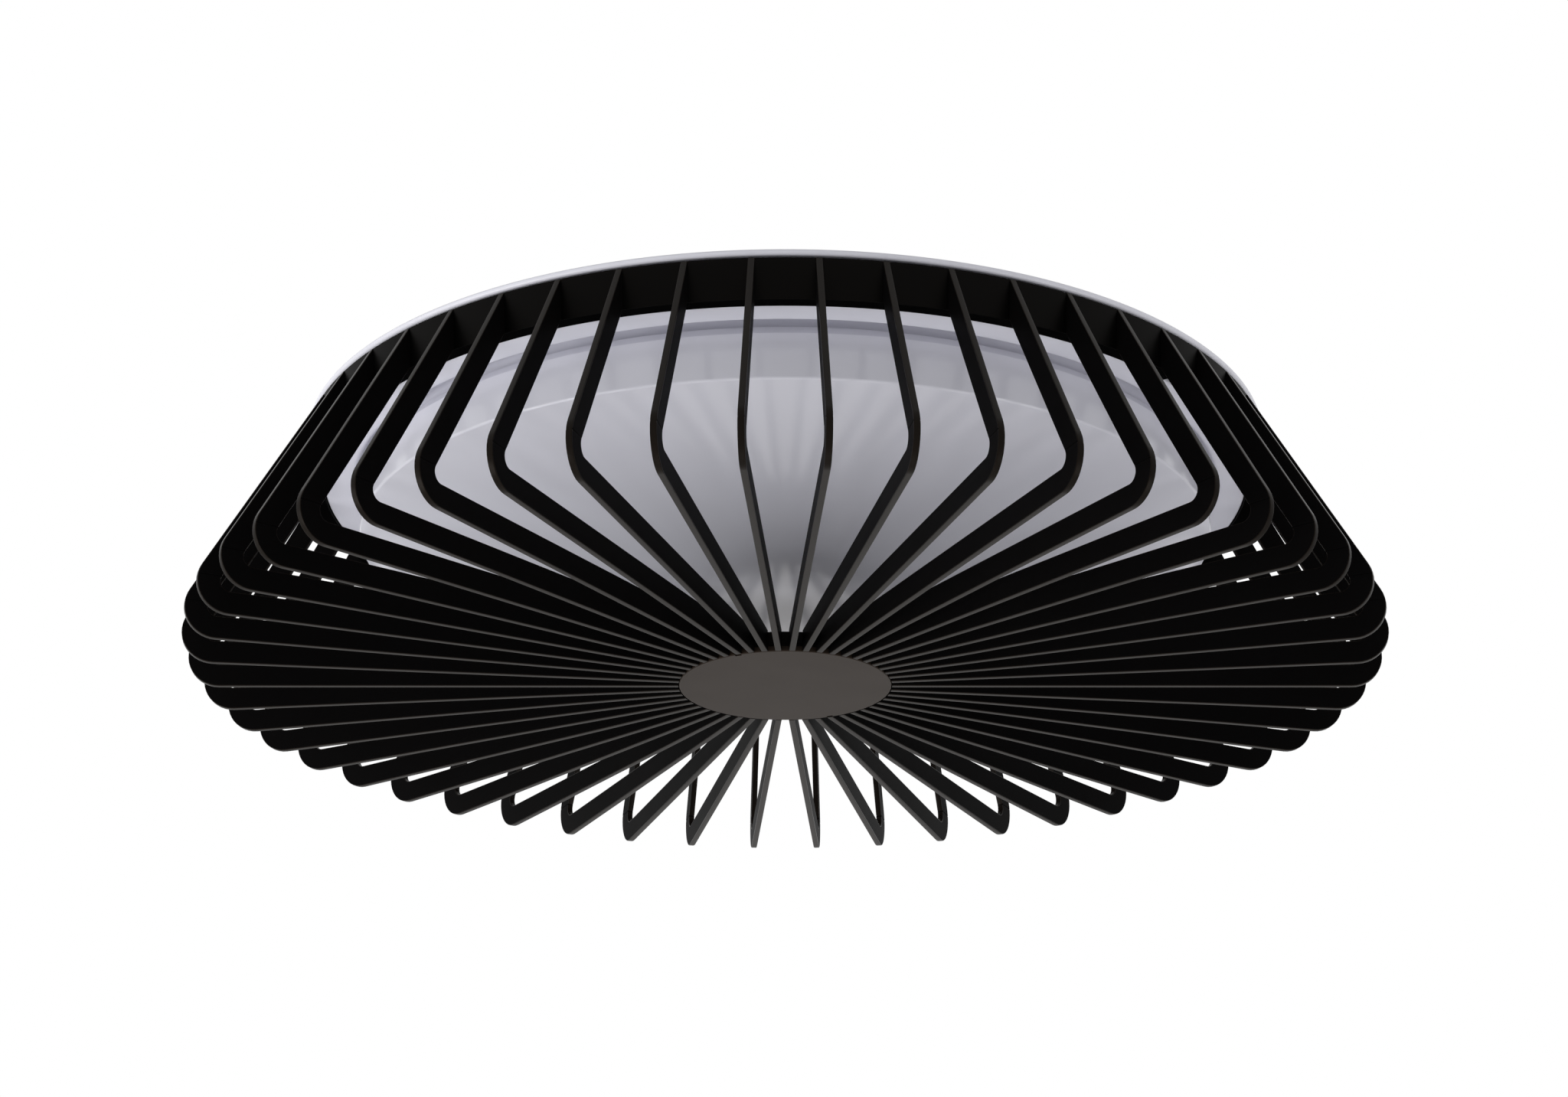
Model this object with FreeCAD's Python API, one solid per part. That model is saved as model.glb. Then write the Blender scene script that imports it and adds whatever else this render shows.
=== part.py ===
import FreeCAD, Part
import math
import os

# Flush mount ceiling light: an opal drum under a white pan, inside a cage of radial ribs.
# Millimetres, +Z up. The origin is the centre of the ceiling plane and the lamp hangs below it.

# Overall sizes, from the drum outwards
diffuser_radius = 192.0
pan_margin = 16.9
rim_width = 8.3
cage_overhang = 50.3
lamp_height = 111.0
pan_depth = 21.4

# Clearances
running_gap = 0.3
fit_gap = 0.3
flange_gap = 0.4

# Ceiling pan, pressed from sheet with a rim turned down round its edge
pan_sheet = 1.2
rim_height = 3.5

# Cage ring, an L section that hides the pan's wall
ring_wall = 3.0
ring_flange = 2.4
lug_count = 3
lug_drop = 1.6
lug_thickness = 3.0
lug_length = 18.0
lug_overlap = 1.5
cage_turn = 7.2

# Ribs of the cage, parted into two mouldings at a seam in the bend, which is drawn with flats
rib_count = 50
rib_thickness = 2.8
rib_depth = 10.0
inner_bend = 4.4
bend_flats = 4

# Hub in the middle of the floor grille and the cap that closes it
cap_radius = 47.5
hub_wall = 2.4
hub_plate = 2.4
hub_step = 1.0
cap_thickness = 2.4
cap_leg_count = 4
cap_leg_length = 14.0
cap_leg_wall = 1.5
cap_notch_width = 3.0
cap_notch_depth = 1.6
cap_notch_angle = 64.0

# Clips welded to the pan's wall that the cage twists on to
clip_sheet = 1.2
clip_reach = 3.0
clip_margin = 2.0
clip_foot_gap = 1.2
stop_length = 1.5
stop_height = 2.6
first_clip_angle = 90.0

# Diffuser, a drum with a sloping shoulder and a shallow domed floor
diffuser_wall = 2.2
shoulder_inset = 1.5
shoulder_height = 3.3
diffuser_drop = 20.2
dome_sag = 20.0
shadow_gap = 0.8
diffuser_lug_thickness = 2.7
diffuser_lug_length = 20.0
diffuser_lug_reach = 3.3

# Clips welded to the pan's floor that the diffuser twists on to
seat_gap = 4.2
seat_foot = 10.6
seat_sheet = 1.5
seat_height = 10.0
seat_ledge = 3.0

# Mounting bracket, a hat-shaped strap
strap_width = 24.0
strap_thickness = 2.0
strap_bend = 3.0
strap_half_length = 76.0
foot_length = 18.0
cable_hole_radius = 10.0
slot_spacing = 60.0
slot_length = 20.0
slot_width = 5.5

# Small round details are drawn with flat sides
head_sides = 6
shank_sides = 8
bush_sides = 12

# Screws
pan_screw_radius = 2.0
pan_screw_head_radius = 4.0
pan_screw_head = 2.4
small_screw_radius = 1.5
small_screw_head_radius = 2.8
small_screw_head = 1.8
screw_hole_gap = 0.15

# Light-emitting board, a ring of straight sides, and its chips
board_sides = 12
board_thickness = 1.6
board_clip_gap = 9.0
board_screw_inset = 6.0
board_inner_margin = 1.0
board_screw_count = 3
chip_size = 3.0
chip_height = 0.7
chip_ring_count = 2
chips_per_ring = 18
chip_inner_inset = 22.0
chip_outer_inset = 18.0

# Driver, a moulded case with a lid, held to the pan by a foam pad
driver_length = 124.0
driver_width = 44.0
driver_offset = 62.0
driver_headroom = 4.2
driver_wall = 1.6
driver_lid = 2.4
driver_corner = 3.0
pad_thickness = 1.0
pad_inset = 6.0

# Terminal block
block_length = 20.0
block_width = 34.0
block_height = 14.0
block_gap = 36.0
pole_count = 3
pole_pitch = 10.0
pole_bore = 3.4
clamp_spacing = 10.0
clamp_screw_radius = 2.0
clamp_screw_length = 4.0

# Leads, drawn with six flat sides
lead_sides = 6
lead_radius = 1.2
led_lead_radius = 0.9
led_lead_spacing = 2.8
lead_height = 6.0
lead_tuck = 6.0
lead_bend = 8.0
led_lead_inset = 10.0
led_bend = 1.8

# Earth tag, placed from the terminal block
earth_reach = 16.0
earth_drop = 26.0
tag_radius = 4.0
tag_sheet = 0.8
tag_neck = 9.0
tag_barrel = 3.8
tag_barrel_length = 6.0

# Grommet and connector for the two leads to the board, placed from the driver
grommet_drop = 12.0
grommet_bore = 3.6
grommet_wall = 1.4
grommet_flange = 1.3
grommet_flange_sheet = 1.3
connector_inset = 7.0
connector_length = 8.0
connector_width = 8.0
connector_height = 4.2

ORIGIN = FreeCAD.Vector(0, 0, 0)
UP = FreeCAD.Vector(0, 0, 1)
SIDEWAYS = FreeCAD.Vector(1, 0, 0)
FULL_TURN = 360.0
MITRED = 1

# Radii that follow from the sizes above
pan_wall_radius = diffuser_radius + pan_margin
rim_radius = pan_wall_radius + rim_width
cage_reach = rim_radius + cage_overhang
hub_radius = cap_radius + fit_gap

# Heights that follow from the sizes above
pan_top = pan_sheet - pan_depth
floor_z = -lamp_height
ring_top = -rim_height - running_gap
ring_bottom = -pan_depth - running_gap
lug_bottom = ring_top - lug_drop - lug_thickness
ledge_top = lug_bottom - running_gap

# Bend of a rib: both arcs share one centre, and the lean makes the outer edge tangent to the bend
bend_radius = inner_bend + rib_depth
bend_r = cage_reach - bend_radius
bend_z = floor_z + bend_radius
bend_run = bend_r - rim_radius
bend_rise = ring_top - bend_z
lean = math.atan2(bend_run, bend_rise) + math.asin(bend_radius / math.hypot(bend_run, bend_rise))

# Seam between the side ribs and the floor grille, level with the inner end of the bend
seam_z = bend_z + inner_bend * math.sin(lean)
seam_inner_r = bend_r + inner_bend * math.cos(lean)
seam_angle = math.asin((seam_z - bend_z) / bend_radius)
ring_foot_radius = seam_inner_r - (ring_bottom - seam_z) * math.tan(lean)

# Heights of the diffuser and its clips, from the pan down
diffuser_top = -pan_depth - shadow_gap
shoulder_z = diffuser_top - shoulder_height
diffuser_edge_z = shoulder_z - diffuser_drop
dome_z = diffuser_edge_z - dome_sag
seat_bottom = -pan_depth - seat_height
seat_ledge_top = seat_bottom + seat_sheet
diffuser_lug_bottom = seat_ledge_top + running_gap

# Sphere of the dome, and the height where its inner face meets the drum's
diffuser_inner = diffuser_radius - diffuser_wall
dome_radius = (diffuser_radius ** 2 + dome_sag ** 2) / (2 * dome_sag)
dome_centre_z = dome_z + dome_radius
drum_foot_z = dome_centre_z - math.sqrt((dome_radius - diffuser_wall) ** 2 - diffuser_inner ** 2)

# Heights and faces of the driver and the terminal block
driver_bottom = pan_top + pad_thickness
driver_top = -driver_headroom
driver_lid_bottom = driver_top - driver_lid
driver_end = driver_length / 2
block_x = -driver_end - block_gap - block_length / 2
block_face = block_x + block_length / 2
pole_places = [driver_offset + (index - (pole_count - 1) / 2) * pole_pitch for index in range(pole_count)]
clamp_places = [(block_x + side * clamp_spacing / 2, y) for y in pole_places for side in (-1, 1)]

# Places of the leads
lead_z = pan_top + lead_height
led_lead_x = driver_end - led_lead_inset
led_lead_steps = [side * led_lead_spacing / 2 for side in (-1, 1)]
earth_x = block_face + earth_reach
earth_y = pole_places[0] - earth_drop
driver_front = driver_offset - driver_width / 2
grommet_x = led_lead_x
grommet_y = driver_front - grommet_drop
pan_hole_radius = grommet_bore + grommet_wall
grommet_outer = pan_hole_radius + grommet_flange

# Radii of the diffuser's clips and the board, from the diffuser inwards
seat_outer = diffuser_inner - seat_gap
seat_inner = seat_outer - seat_foot
board_corner_radius = seat_inner - board_clip_gap
board_outer = board_corner_radius * math.cos(math.pi / board_sides)
pan_screw_x = strap_half_length + foot_length / 2
grommet_limit = math.hypot(grommet_x, grommet_y) + grommet_outer
board_inner = max(pan_screw_x + pan_screw_head_radius, grommet_limit) + board_inner_margin
board_screw_radius = board_outer - board_screw_inset
board_face = -pan_depth - board_thickness
connector_x = board_inner + connector_inset

# Places of the screws
pan_screw_places = [(-pan_screw_x, 0.0), (pan_screw_x, 0.0)]
block_screw_place = (block_x, driver_offset + pole_pitch / 2)
earth_place = (earth_x, earth_y)
board_screw_places = []
for index in range(board_screw_count):
    board_screw_turn = (index + 0.5) * 2 * math.pi / board_screw_count
    board_screw_x = board_screw_radius * math.cos(board_screw_turn)
    board_screw_y = board_screw_radius * math.sin(board_screw_turn)
    board_screw_places.append((board_screw_x, board_screw_y))


def point(r, z):
    """Point of a section, in the plane of X and Z."""
    return FreeCAD.Vector(r, 0, z)


def straight(start, end):
    """Straight edge between two points."""
    return Part.LineSegment(start, end).toShape()


def arc(start, middle, end):
    """Arc edge through three points."""
    return Part.Arc(start, middle, end).toShape()


def rounded(before, corner, after, radius):
    """Start, middle and end of the arc that rounds a corner."""
    back = (before - corner).normalize()
    ahead = (after - corner).normalize()
    half = back.getAngle(ahead) / 2
    reach = radius / math.tan(half)
    inwards = (back + ahead).normalize()
    middle = corner + inwards * (radius / math.sin(half) - radius)
    return corner + back * reach, middle, corner + ahead * reach


def section(corners):
    """Closed face from (r, z) corners, or (r, z, fillet) where a corner is rounded."""
    points = [point(corner[0], corner[1]) for corner in corners]
    turns = []
    for index, corner in enumerate(corners):
        if len(corner) == 3:
            after = points[(index + 1) % len(points)]
            turns.append(rounded(points[index - 1], points[index], after, corner[2]))
        else:
            turns.append((points[index], None, points[index]))
    edges = []
    for index, (start, middle, end) in enumerate(turns):
        if middle is not None:
            edges.append(arc(start, middle, end))
        edges.append(straight(end, turns[(index + 1) % len(turns)][0]))
    return Part.Face(Part.Wire(edges))


def box_section(inner, outer, bottom, top):
    """Corners of a plain rectangular section."""
    return [(inner, bottom), (outer, bottom), (outer, top), (inner, top)]


def ring(corners):
    """Solid of revolution round the lamp's axis."""
    return section(corners).revolve(ORIGIN, UP, FULL_TURN)


def sector(corners, radius, start, end):
    """Part of a ring between two places, both given as lengths along an arc of the radius."""
    solid = section(corners).revolve(ORIGIN, UP, math.degrees((end - start) / radius))
    solid.rotate(ORIGIN, UP, math.degrees(start / radius))
    return solid


def turned(shape, degrees):
    """Copy of a shape turned round the lamp's axis."""
    copy = shape.copy()
    copy.rotate(ORIGIN, UP, degrees)
    return copy


def around(shape, count, first=0.0):
    """Copies of a shape spaced evenly round the lamp's axis."""
    return [turned(shape, first + index * FULL_TURN / count) for index in range(count)]


def moved(shape, x, y):
    """Copy of a shape moved level to a place."""
    copy = shape.copy()
    copy.translate(FreeCAD.Vector(x, y, 0))
    return copy


def plate(face, thickness):
    """Flat plate with its middle plane on the section's plane."""
    solid = face.extrude(FreeCAD.Vector(0, thickness, 0))
    solid.translate(FreeCAD.Vector(0, -thickness / 2, 0))
    return solid


def block(length, width, bottom, top, x=0.0, y=0.0):
    """Box centred on a place."""
    corner = FreeCAD.Vector(x - length / 2, y - width / 2, bottom)
    return Part.makeBox(length, width, top - bottom, corner)


def peg(radius, bottom, top, x=0.0, y=0.0):
    """Upright cylinder."""
    return Part.makeCylinder(radius, top - bottom, FreeCAD.Vector(x, y, bottom), UP)


def prism(radius, sides, bottom, top):
    """Upright prism on a regular polygon, with the radius at its corners."""
    corners = []
    for index in range(sides + 1):
        angle = (index % sides + 0.5) * 2 * math.pi / sides
        corners.append(FreeCAD.Vector(radius * math.cos(angle), radius * math.sin(angle), bottom))
    return Part.Face(Part.makePolygon(corners)).extrude(FreeCAD.Vector(0, 0, top - bottom))


def screws(places, radius, head_radius, head, seat, tip):
    """Upright screws whose heads bear on the seat height and whose shanks end at the tip height."""
    head_end = seat + math.copysign(head, seat - tip)
    screw_head = prism(head_radius, head_sides, min(seat, head_end), max(seat, head_end))
    shank = prism(radius, shank_sides, min(seat, tip), max(seat, tip))
    shape = screw_head.fuse(shank)
    return [moved(shape, x, y) for x, y in places]


def small_screws(places, seat, tip):
    """Small screws at the places."""
    return screws(places, small_screw_radius, small_screw_head_radius, small_screw_head, seat, tip)


def lead(places, radius, bends):
    """Lead that starts level and follows straight runs, with a flat across each bend."""
    run = [places[0]]
    for index, bend in enumerate(bends):
        first, _, last = rounded(places[index], places[index + 1], places[index + 2], bend)
        run += [first, last]
    run.append(places[-1])
    across = (places[1] - places[0]).cross(UP).normalize()
    rim = []
    for index in range(lead_sides + 1):
        angle = (index % lead_sides + 0.5) * 2 * math.pi / lead_sides
        rim.append(places[0] + across * (radius * math.cos(angle)) + UP * (radius * math.sin(angle)))
    return Part.makePolygon(run).makePipeShell([Part.makePolygon(rim)], True, False, MITRED)


def floor_holes(places, radius, sides=shank_sides):
    """Upright cutters through the pan's floor and what is screwed under it."""
    hole = prism(radius, sides, board_face, pan_top)
    return [moved(hole, x, y) for x, y in places]


def make_ceiling_pan():
    """Pressed pan: flat floor, wall, flange against the ceiling and a rim turned down."""
    corners = [
        (0, -pan_depth),
        (pan_wall_radius, -pan_depth),
        (pan_wall_radius, -pan_sheet),
        (rim_radius - pan_sheet, -pan_sheet),
        (rim_radius - pan_sheet, -rim_height),
        (rim_radius, -rim_height),
        (rim_radius, 0),
        (pan_wall_radius - pan_sheet, 0),
        (pan_wall_radius - pan_sheet, pan_top),
        (0, pan_top),
    ]
    cutters = floor_holes(pan_screw_places, pan_screw_radius + screw_hole_gap)
    small_places = [block_screw_place, earth_place] + board_screw_places
    cutters += floor_holes(small_places, small_screw_radius + screw_hole_gap)
    cutters += floor_holes([(grommet_x, grommet_y)], pan_hole_radius, bush_sides)
    return ring(corners).cut(cutters)


def make_cage_clips():
    """Three steel angles on the pan's wall, each with a ledge for a lug and a stop at its end."""
    start = -lug_length / 2 - running_gap - stop_length
    end = lug_length / 2 + clip_margin
    foot = ring_bottom + ring_flange + clip_foot_gap
    ledge_reach = pan_wall_radius + clip_reach
    corners = [
        (pan_wall_radius, foot),
        (pan_wall_radius + clip_sheet, foot),
        (pan_wall_radius + clip_sheet, ledge_top - clip_sheet),
        (ledge_reach, ledge_top - clip_sheet),
        (ledge_reach, ledge_top),
        (pan_wall_radius, ledge_top),
    ]
    angle = sector(corners, pan_wall_radius, start, end)
    stop_section = box_section(pan_wall_radius, ledge_reach, ledge_top, ledge_top + stop_height)
    stop = sector(stop_section, pan_wall_radius, start, start + stop_length)
    return around(angle.fuse(stop).removeSplitter(), lug_count, first_clip_angle)


def make_cage_ring():
    """Ring of the cage with its lugs and the notches that let it drop past the clips."""
    flange_top = ring_bottom + ring_flange
    bore = pan_wall_radius + flange_gap
    corners = [
        (ring_foot_radius, ring_bottom),
        (rim_radius, ring_top),
        (rim_radius - ring_wall, ring_top),
        (ring_foot_radius - ring_wall, flange_top),
        (bore, flange_top),
        (bore, ring_bottom),
    ]
    lug_inner = pan_wall_radius + lug_overlap
    lug_section = box_section(lug_inner, rim_radius - ring_wall / 2, lug_bottom, lug_bottom + lug_thickness)
    lug = sector(lug_section, pan_wall_radius, -lug_length / 2, lug_length / 2)
    notch_reach = pan_wall_radius + clip_reach + flange_gap
    notch_section = box_section(pan_wall_radius, notch_reach, ring_bottom - ring_flange, flange_top)
    notch_half = lug_length / 2 + clip_margin + stop_length
    notch = sector(notch_section, pan_wall_radius, -notch_half, notch_half)
    notches = around(notch, lug_count, first_clip_angle - cage_turn)
    return ring(corners).fuse(around(lug, lug_count, first_clip_angle)).cut(notches)


def bend_point(radius, angle):
    """Point of a rib's bend, at an angle above the level of its centre."""
    return point(bend_r + radius * math.cos(angle), bend_z + radius * math.sin(angle))


def make_ribs(outline):
    """Copies of a rib all round, with a gap between two of them at the front."""
    rib = plate(Part.Face(Part.makePolygon(outline + outline[:1])), rib_thickness)
    half_step = FULL_TURN / rib_count / 2
    return around(rib, rib_count, half_step - FULL_TURN / 4)


def make_side_ribs():
    """Sloping ribs from the ring down to the seam in the bend."""
    outline = [
        point(rim_radius, ring_top),
        point(ring_foot_radius, ring_bottom),
        bend_point(inner_bend, lean),
        bend_point(bend_radius, seam_angle),
        bend_point(bend_radius, lean),
    ]
    return make_ribs(outline)


def make_floor_ribs():
    """Flat ribs from the hub to the seam, each with the lower part of its bend."""
    rib_top = floor_z + rib_depth
    down = -math.pi / 2
    outline = [point(hub_radius, floor_z)]
    outline += [bend_point(bend_radius, down * (1 - index / bend_flats)) for index in range(bend_flats + 1)]
    outline += [
        bend_point(bend_radius, seam_angle),
        bend_point(inner_bend, lean),
        bend_point(inner_bend, (down + lean) / 2),
        point(bend_r, rib_top),
        point(hub_radius, rib_top),
    ]
    return make_ribs(outline)


def make_cage_hub():
    """Cup in the middle of the floor that the ribs run in to, open below for the cap."""
    pocket_z = floor_z + cap_thickness
    hub_top = floor_z + rib_depth - hub_step
    hub_bore = hub_radius - hub_wall
    corners = [
        (0, hub_top - hub_plate),
        (hub_bore, hub_top - hub_plate),
        (hub_bore, pocket_z),
        (hub_radius, pocket_z),
        (hub_radius, hub_top),
        (0, hub_top),
    ]
    return ring(corners)


def make_hub_cap():
    """Disc that closes the hub, with four legs inside the hub and two prise notches in its rim."""
    disc_top = floor_z + cap_thickness
    leg_outer = hub_radius - hub_wall - fit_gap
    leg_bottom = disc_top - cap_thickness / 2
    leg_top = floor_z + rib_depth - hub_step - hub_plate - fit_gap
    leg_section = box_section(leg_outer - cap_leg_wall, leg_outer, leg_bottom, leg_top)
    leg = sector(leg_section, leg_outer, -cap_leg_length / 2, cap_leg_length / 2)
    disc = peg(cap_radius, floor_z, disc_top)
    notch = block(2 * cap_notch_depth, cap_notch_width, floor_z, disc_top, cap_radius)
    return disc.fuse(around(leg, cap_leg_count)).cut(around(notch, 2, cap_notch_angle))


def make_diffuser():
    """Wall of the opal drum, with a sloping shoulder and the lugs inside."""
    corners = [
        (diffuser_inner, drum_foot_z),
        (diffuser_radius, drum_foot_z),
        (diffuser_radius, shoulder_z),
        (diffuser_radius - shoulder_inset, diffuser_top),
        (diffuser_inner, diffuser_top),
    ]
    lug_top = diffuser_lug_bottom + diffuser_lug_thickness
    lug_inner = diffuser_inner - diffuser_lug_reach
    lug_section = box_section(lug_inner, diffuser_inner, diffuser_lug_bottom, lug_top)
    lug = sector(lug_section, diffuser_inner, -diffuser_lug_length / 2, diffuser_lug_length / 2)
    return ring(corners).fuse(around(lug, lug_count, first_clip_angle))


def dome_disc(radius, depth):
    """Round slab from the drum's foot down to the dome's sphere, at a depth under its outer face."""
    centre = FreeCAD.Vector(0, 0, dome_centre_z)
    sphere = Part.makeSphere(dome_radius - depth, centre, SIDEWAYS)
    return peg(radius, dome_z, drum_foot_z).common(sphere)


def make_diffuser_dome():
    """Domed floor of the drum, a shell that carries on from the wall: a middle and the rest round it."""
    shell = dome_disc(diffuser_radius, 0.0).cut(dome_disc(diffuser_inner, diffuser_wall))
    middle = peg(diffuser_radius / 2, dome_z, drum_foot_z)
    return [shell.common(middle), shell.cut(middle)]


def make_diffuser_clips():
    """Three stamped clips under the pan, each with a ledge for a lug and a stop at its end."""
    reach = seat_outer + seat_ledge
    leg_inner = seat_outer - seat_sheet
    corners = [
        (seat_inner, -pan_depth),
        (seat_inner, -pan_depth - seat_sheet),
        (leg_inner, -pan_depth - seat_sheet),
        (leg_inner, seat_bottom),
        (reach, seat_bottom),
        (reach, seat_ledge_top),
        (seat_outer, seat_ledge_top),
        (seat_outer, -pan_depth),
    ]
    start = -diffuser_lug_length / 2 - running_gap - stop_length
    end = diffuser_lug_length / 2 + clip_margin
    angle = sector(corners, seat_outer, start, end)
    stop_section = box_section(seat_outer, reach, seat_ledge_top, seat_ledge_top + stop_height)
    stop = sector(stop_section, seat_outer, start, start + stop_length)
    return around(angle.fuse(stop).removeSplitter(), lug_count, first_clip_angle)


def make_mounting_bracket():
    """Hat-shaped strap: slots and a cable hole in its crown, and a foot at each end."""
    foot_top = pan_top + strap_thickness
    right = [
        (strap_half_length + foot_length, pan_top),
        (strap_half_length + foot_length, foot_top),
        (strap_half_length, foot_top),
        (strap_half_length, 0, strap_bend),
    ]
    under_right = [
        (strap_half_length - strap_thickness, -strap_thickness),
        (strap_half_length - strap_thickness, pan_top, strap_bend),
    ]
    left = [(-corner[0],) + corner[1:] for corner in reversed(right)]
    under_left = [(-corner[0],) + corner[1:] for corner in reversed(under_right)]
    strap = plate(section(right + left + under_left + under_right), strap_width)
    cutters = [peg(cable_hole_radius, -strap_thickness, 0)]
    slot_run = slot_length - slot_width
    for side in (-1, 1):
        x = side * slot_spacing / 2
        cutters.append(block(slot_run, slot_width, -strap_thickness, 0, x))
        for end in (-1, 1):
            cutters.append(peg(slot_width / 2, -strap_thickness, 0, x + end * slot_run / 2))
    screw_hole = prism(pan_screw_radius + screw_hole_gap, shank_sides, pan_top, foot_top)
    cutters += [moved(screw_hole, x, y) for x, y in pan_screw_places]
    return strap.cut(cutters)


def rounded_block(length, width, bottom, top, corner):
    """Box with rounded upright corners, centred on the driver."""
    solid = block(length, width, bottom, top, 0, driver_offset)
    upright = [edge for edge in solid.Edges if abs(edge.tangentAt(edge.FirstParameter).z) > 0.5]
    return solid.makeFillet(corner, upright)


def square_hole(length, width, height, x, y):
    """Cutter for a lead's way out of the driver, level with the leads."""
    return block(length, width, lead_z - height / 2, lead_z + height / 2, x, y)


def make_driver_case():
    """Open moulded box with holes for the leads at its ends."""
    case = rounded_block(driver_length, driver_width, driver_bottom, driver_lid_bottom, driver_corner)
    inner_length = driver_length - 2 * driver_wall
    inner_width = driver_width - 2 * driver_wall
    hollow_bottom = driver_bottom + driver_wall
    cutters = [block(inner_length, inner_width, hollow_bottom, driver_lid_bottom, 0, driver_offset)]
    supply_hole = 2 * (lead_radius + fit_gap)
    for y in pole_places[1:]:
        end_x = -driver_end + driver_wall / 2
        cutters.append(square_hole(driver_wall, supply_hole, supply_hole, end_x, y))
    led_hole = 2 * (led_lead_radius + fit_gap)
    led_width = led_hole + led_lead_spacing
    cutters.append(square_hole(led_width, driver_wall, led_hole, led_lead_x, driver_front + driver_wall / 2))
    return case.cut(cutters)


def make_driver_cover():
    """Lid of the driver with a locating rim inside the case's walls."""
    lid = rounded_block(driver_length, driver_width, driver_lid_bottom, driver_top, driver_corner)
    rim_length = driver_length - 2 * driver_wall - 2 * fit_gap
    rim_breadth = driver_width - 2 * driver_wall - 2 * fit_gap
    rim_bottom = driver_lid_bottom - driver_wall
    rim = block(rim_length, rim_breadth, rim_bottom, driver_lid_bottom, 0, driver_offset)
    hole_length = rim_length - 2 * driver_wall
    hole_breadth = rim_breadth - 2 * driver_wall
    rim_hole = block(hole_length, hole_breadth, rim_bottom, driver_lid_bottom, 0, driver_offset)
    return lid.fuse(rim.cut(rim_hole))


def make_driver_pad():
    """Foam pad between the driver and the pan."""
    length = driver_length - 2 * pad_inset
    width = driver_width - 2 * pad_inset
    return block(length, width, pan_top, driver_bottom, 0, driver_offset)


def make_terminal_block():
    """Moulded block with a square through way and two screw wells for each pole."""
    top = pan_top + block_height
    body = block(block_length, block_width, pan_top, top, block_x, driver_offset)
    cutters = []
    for y in pole_places:
        way = block(block_length, pole_bore, lead_z - pole_bore / 2, lead_z + pole_bore / 2, block_x, y)
        cutters.append(way)
    for x, y in clamp_places:
        cutters.append(moved(prism(clamp_screw_radius + fit_gap, shank_sides, lead_z, top), x, y))
    screw_hole = prism(small_screw_radius + screw_hole_gap, shank_sides, pan_top, top)
    cutters.append(moved(screw_hole, *block_screw_place))
    return body.cut(cutters)


def make_terminal_screws():
    """Clamping screws of the terminal block, sunk in their wells on to the leads."""
    bottom = lead_z + lead_radius
    shape = prism(clamp_screw_radius, shank_sides, bottom, bottom + clamp_screw_length)
    return [moved(shape, x, y) for x, y in clamp_places]


def make_supply_lead(pole_y):
    """Straight lead from a pole of the terminal block to the driver's near end."""
    start = FreeCAD.Vector(block_face - lead_tuck, pole_y, lead_z)
    end = FreeCAD.Vector(-driver_end + lead_tuck, pole_y, lead_z)
    return lead([start, end], lead_radius, [])


def make_earth_lead():
    """Lead from the first pole to the barrel of the earth tag."""
    barrel_end = earth_y + tag_neck + tag_barrel_length
    barrel_z = pan_top + tag_sheet + tag_barrel / 2
    places = [
        FreeCAD.Vector(block_face - lead_tuck, pole_places[0], lead_z),
        FreeCAD.Vector(earth_x, pole_places[0], lead_z),
        FreeCAD.Vector(earth_x, barrel_end + lead_radius, barrel_z),
        FreeCAD.Vector(earth_x, barrel_end - tag_barrel_length, barrel_z),
    ]
    return lead(places, lead_radius, [lead_bend, lead_bend])


def make_earth_tag():
    """Ring tag under the earth screw, with a square barrel crimped round the lead."""
    sheet_top = pan_top + tag_sheet
    barrel_y = earth_y + tag_neck + tag_barrel_length / 2
    eye = moved(prism(tag_radius, bush_sides, pan_top, sheet_top), earth_x, earth_y)
    tail_length = tag_neck + tag_barrel_length
    tail = block(tag_barrel, tail_length, pan_top, sheet_top, earth_x, earth_y + tail_length / 2)
    barrel = block(tag_barrel, tag_barrel_length, sheet_top, sheet_top + tag_barrel, earth_x, barrel_y)
    way_bottom = sheet_top + tag_barrel / 2 - lead_radius
    way = block(2 * lead_radius, tag_barrel_length, way_bottom, way_bottom + 2 * lead_radius, earth_x, barrel_y)
    hole = moved(prism(small_screw_radius + screw_hole_gap, shank_sides, pan_top, sheet_top), earth_x, earth_y)
    return eye.fuse([tail, barrel]).cut([way, hole]).removeSplitter()


def make_led_leads():
    """Pair of leads from the driver's side, down through the grommet and out to the board's connector."""
    connector_z = board_face - connector_height / 2
    leads = []
    for step in led_lead_steps:
        x = led_lead_x + step
        y = grommet_y - step
        places = [
            FreeCAD.Vector(x, driver_front + lead_tuck, lead_z),
            FreeCAD.Vector(x, y, lead_z),
            FreeCAD.Vector(x, y, connector_z),
            FreeCAD.Vector(connector_x - connector_length / 2, y, connector_z),
        ]
        leads.append(lead(places, led_lead_radius, [led_bend, led_bend]))
    return leads


def make_lead_grommet():
    """Rubber bush in the pan's floor, with a flange on each side of the sheet."""
    bottom = -pan_depth - grommet_flange_sheet
    top = pan_top + grommet_flange_sheet
    lower_flange = prism(grommet_outer, bush_sides, bottom, -pan_depth)
    neck = prism(pan_hole_radius, bush_sides, -pan_depth, pan_top)
    upper_flange = prism(grommet_outer, bush_sides, pan_top, top)
    bore = prism(grommet_bore, bush_sides, bottom, top)
    return moved(lower_flange.fuse([neck, upper_flange]).cut(bore), grommet_x, grommet_y)


def make_led_connector():
    """Plug housing that stands on the board."""
    bottom = board_face - connector_height
    return block(connector_length, connector_width, bottom, board_face, connector_x, grommet_y)


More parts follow.
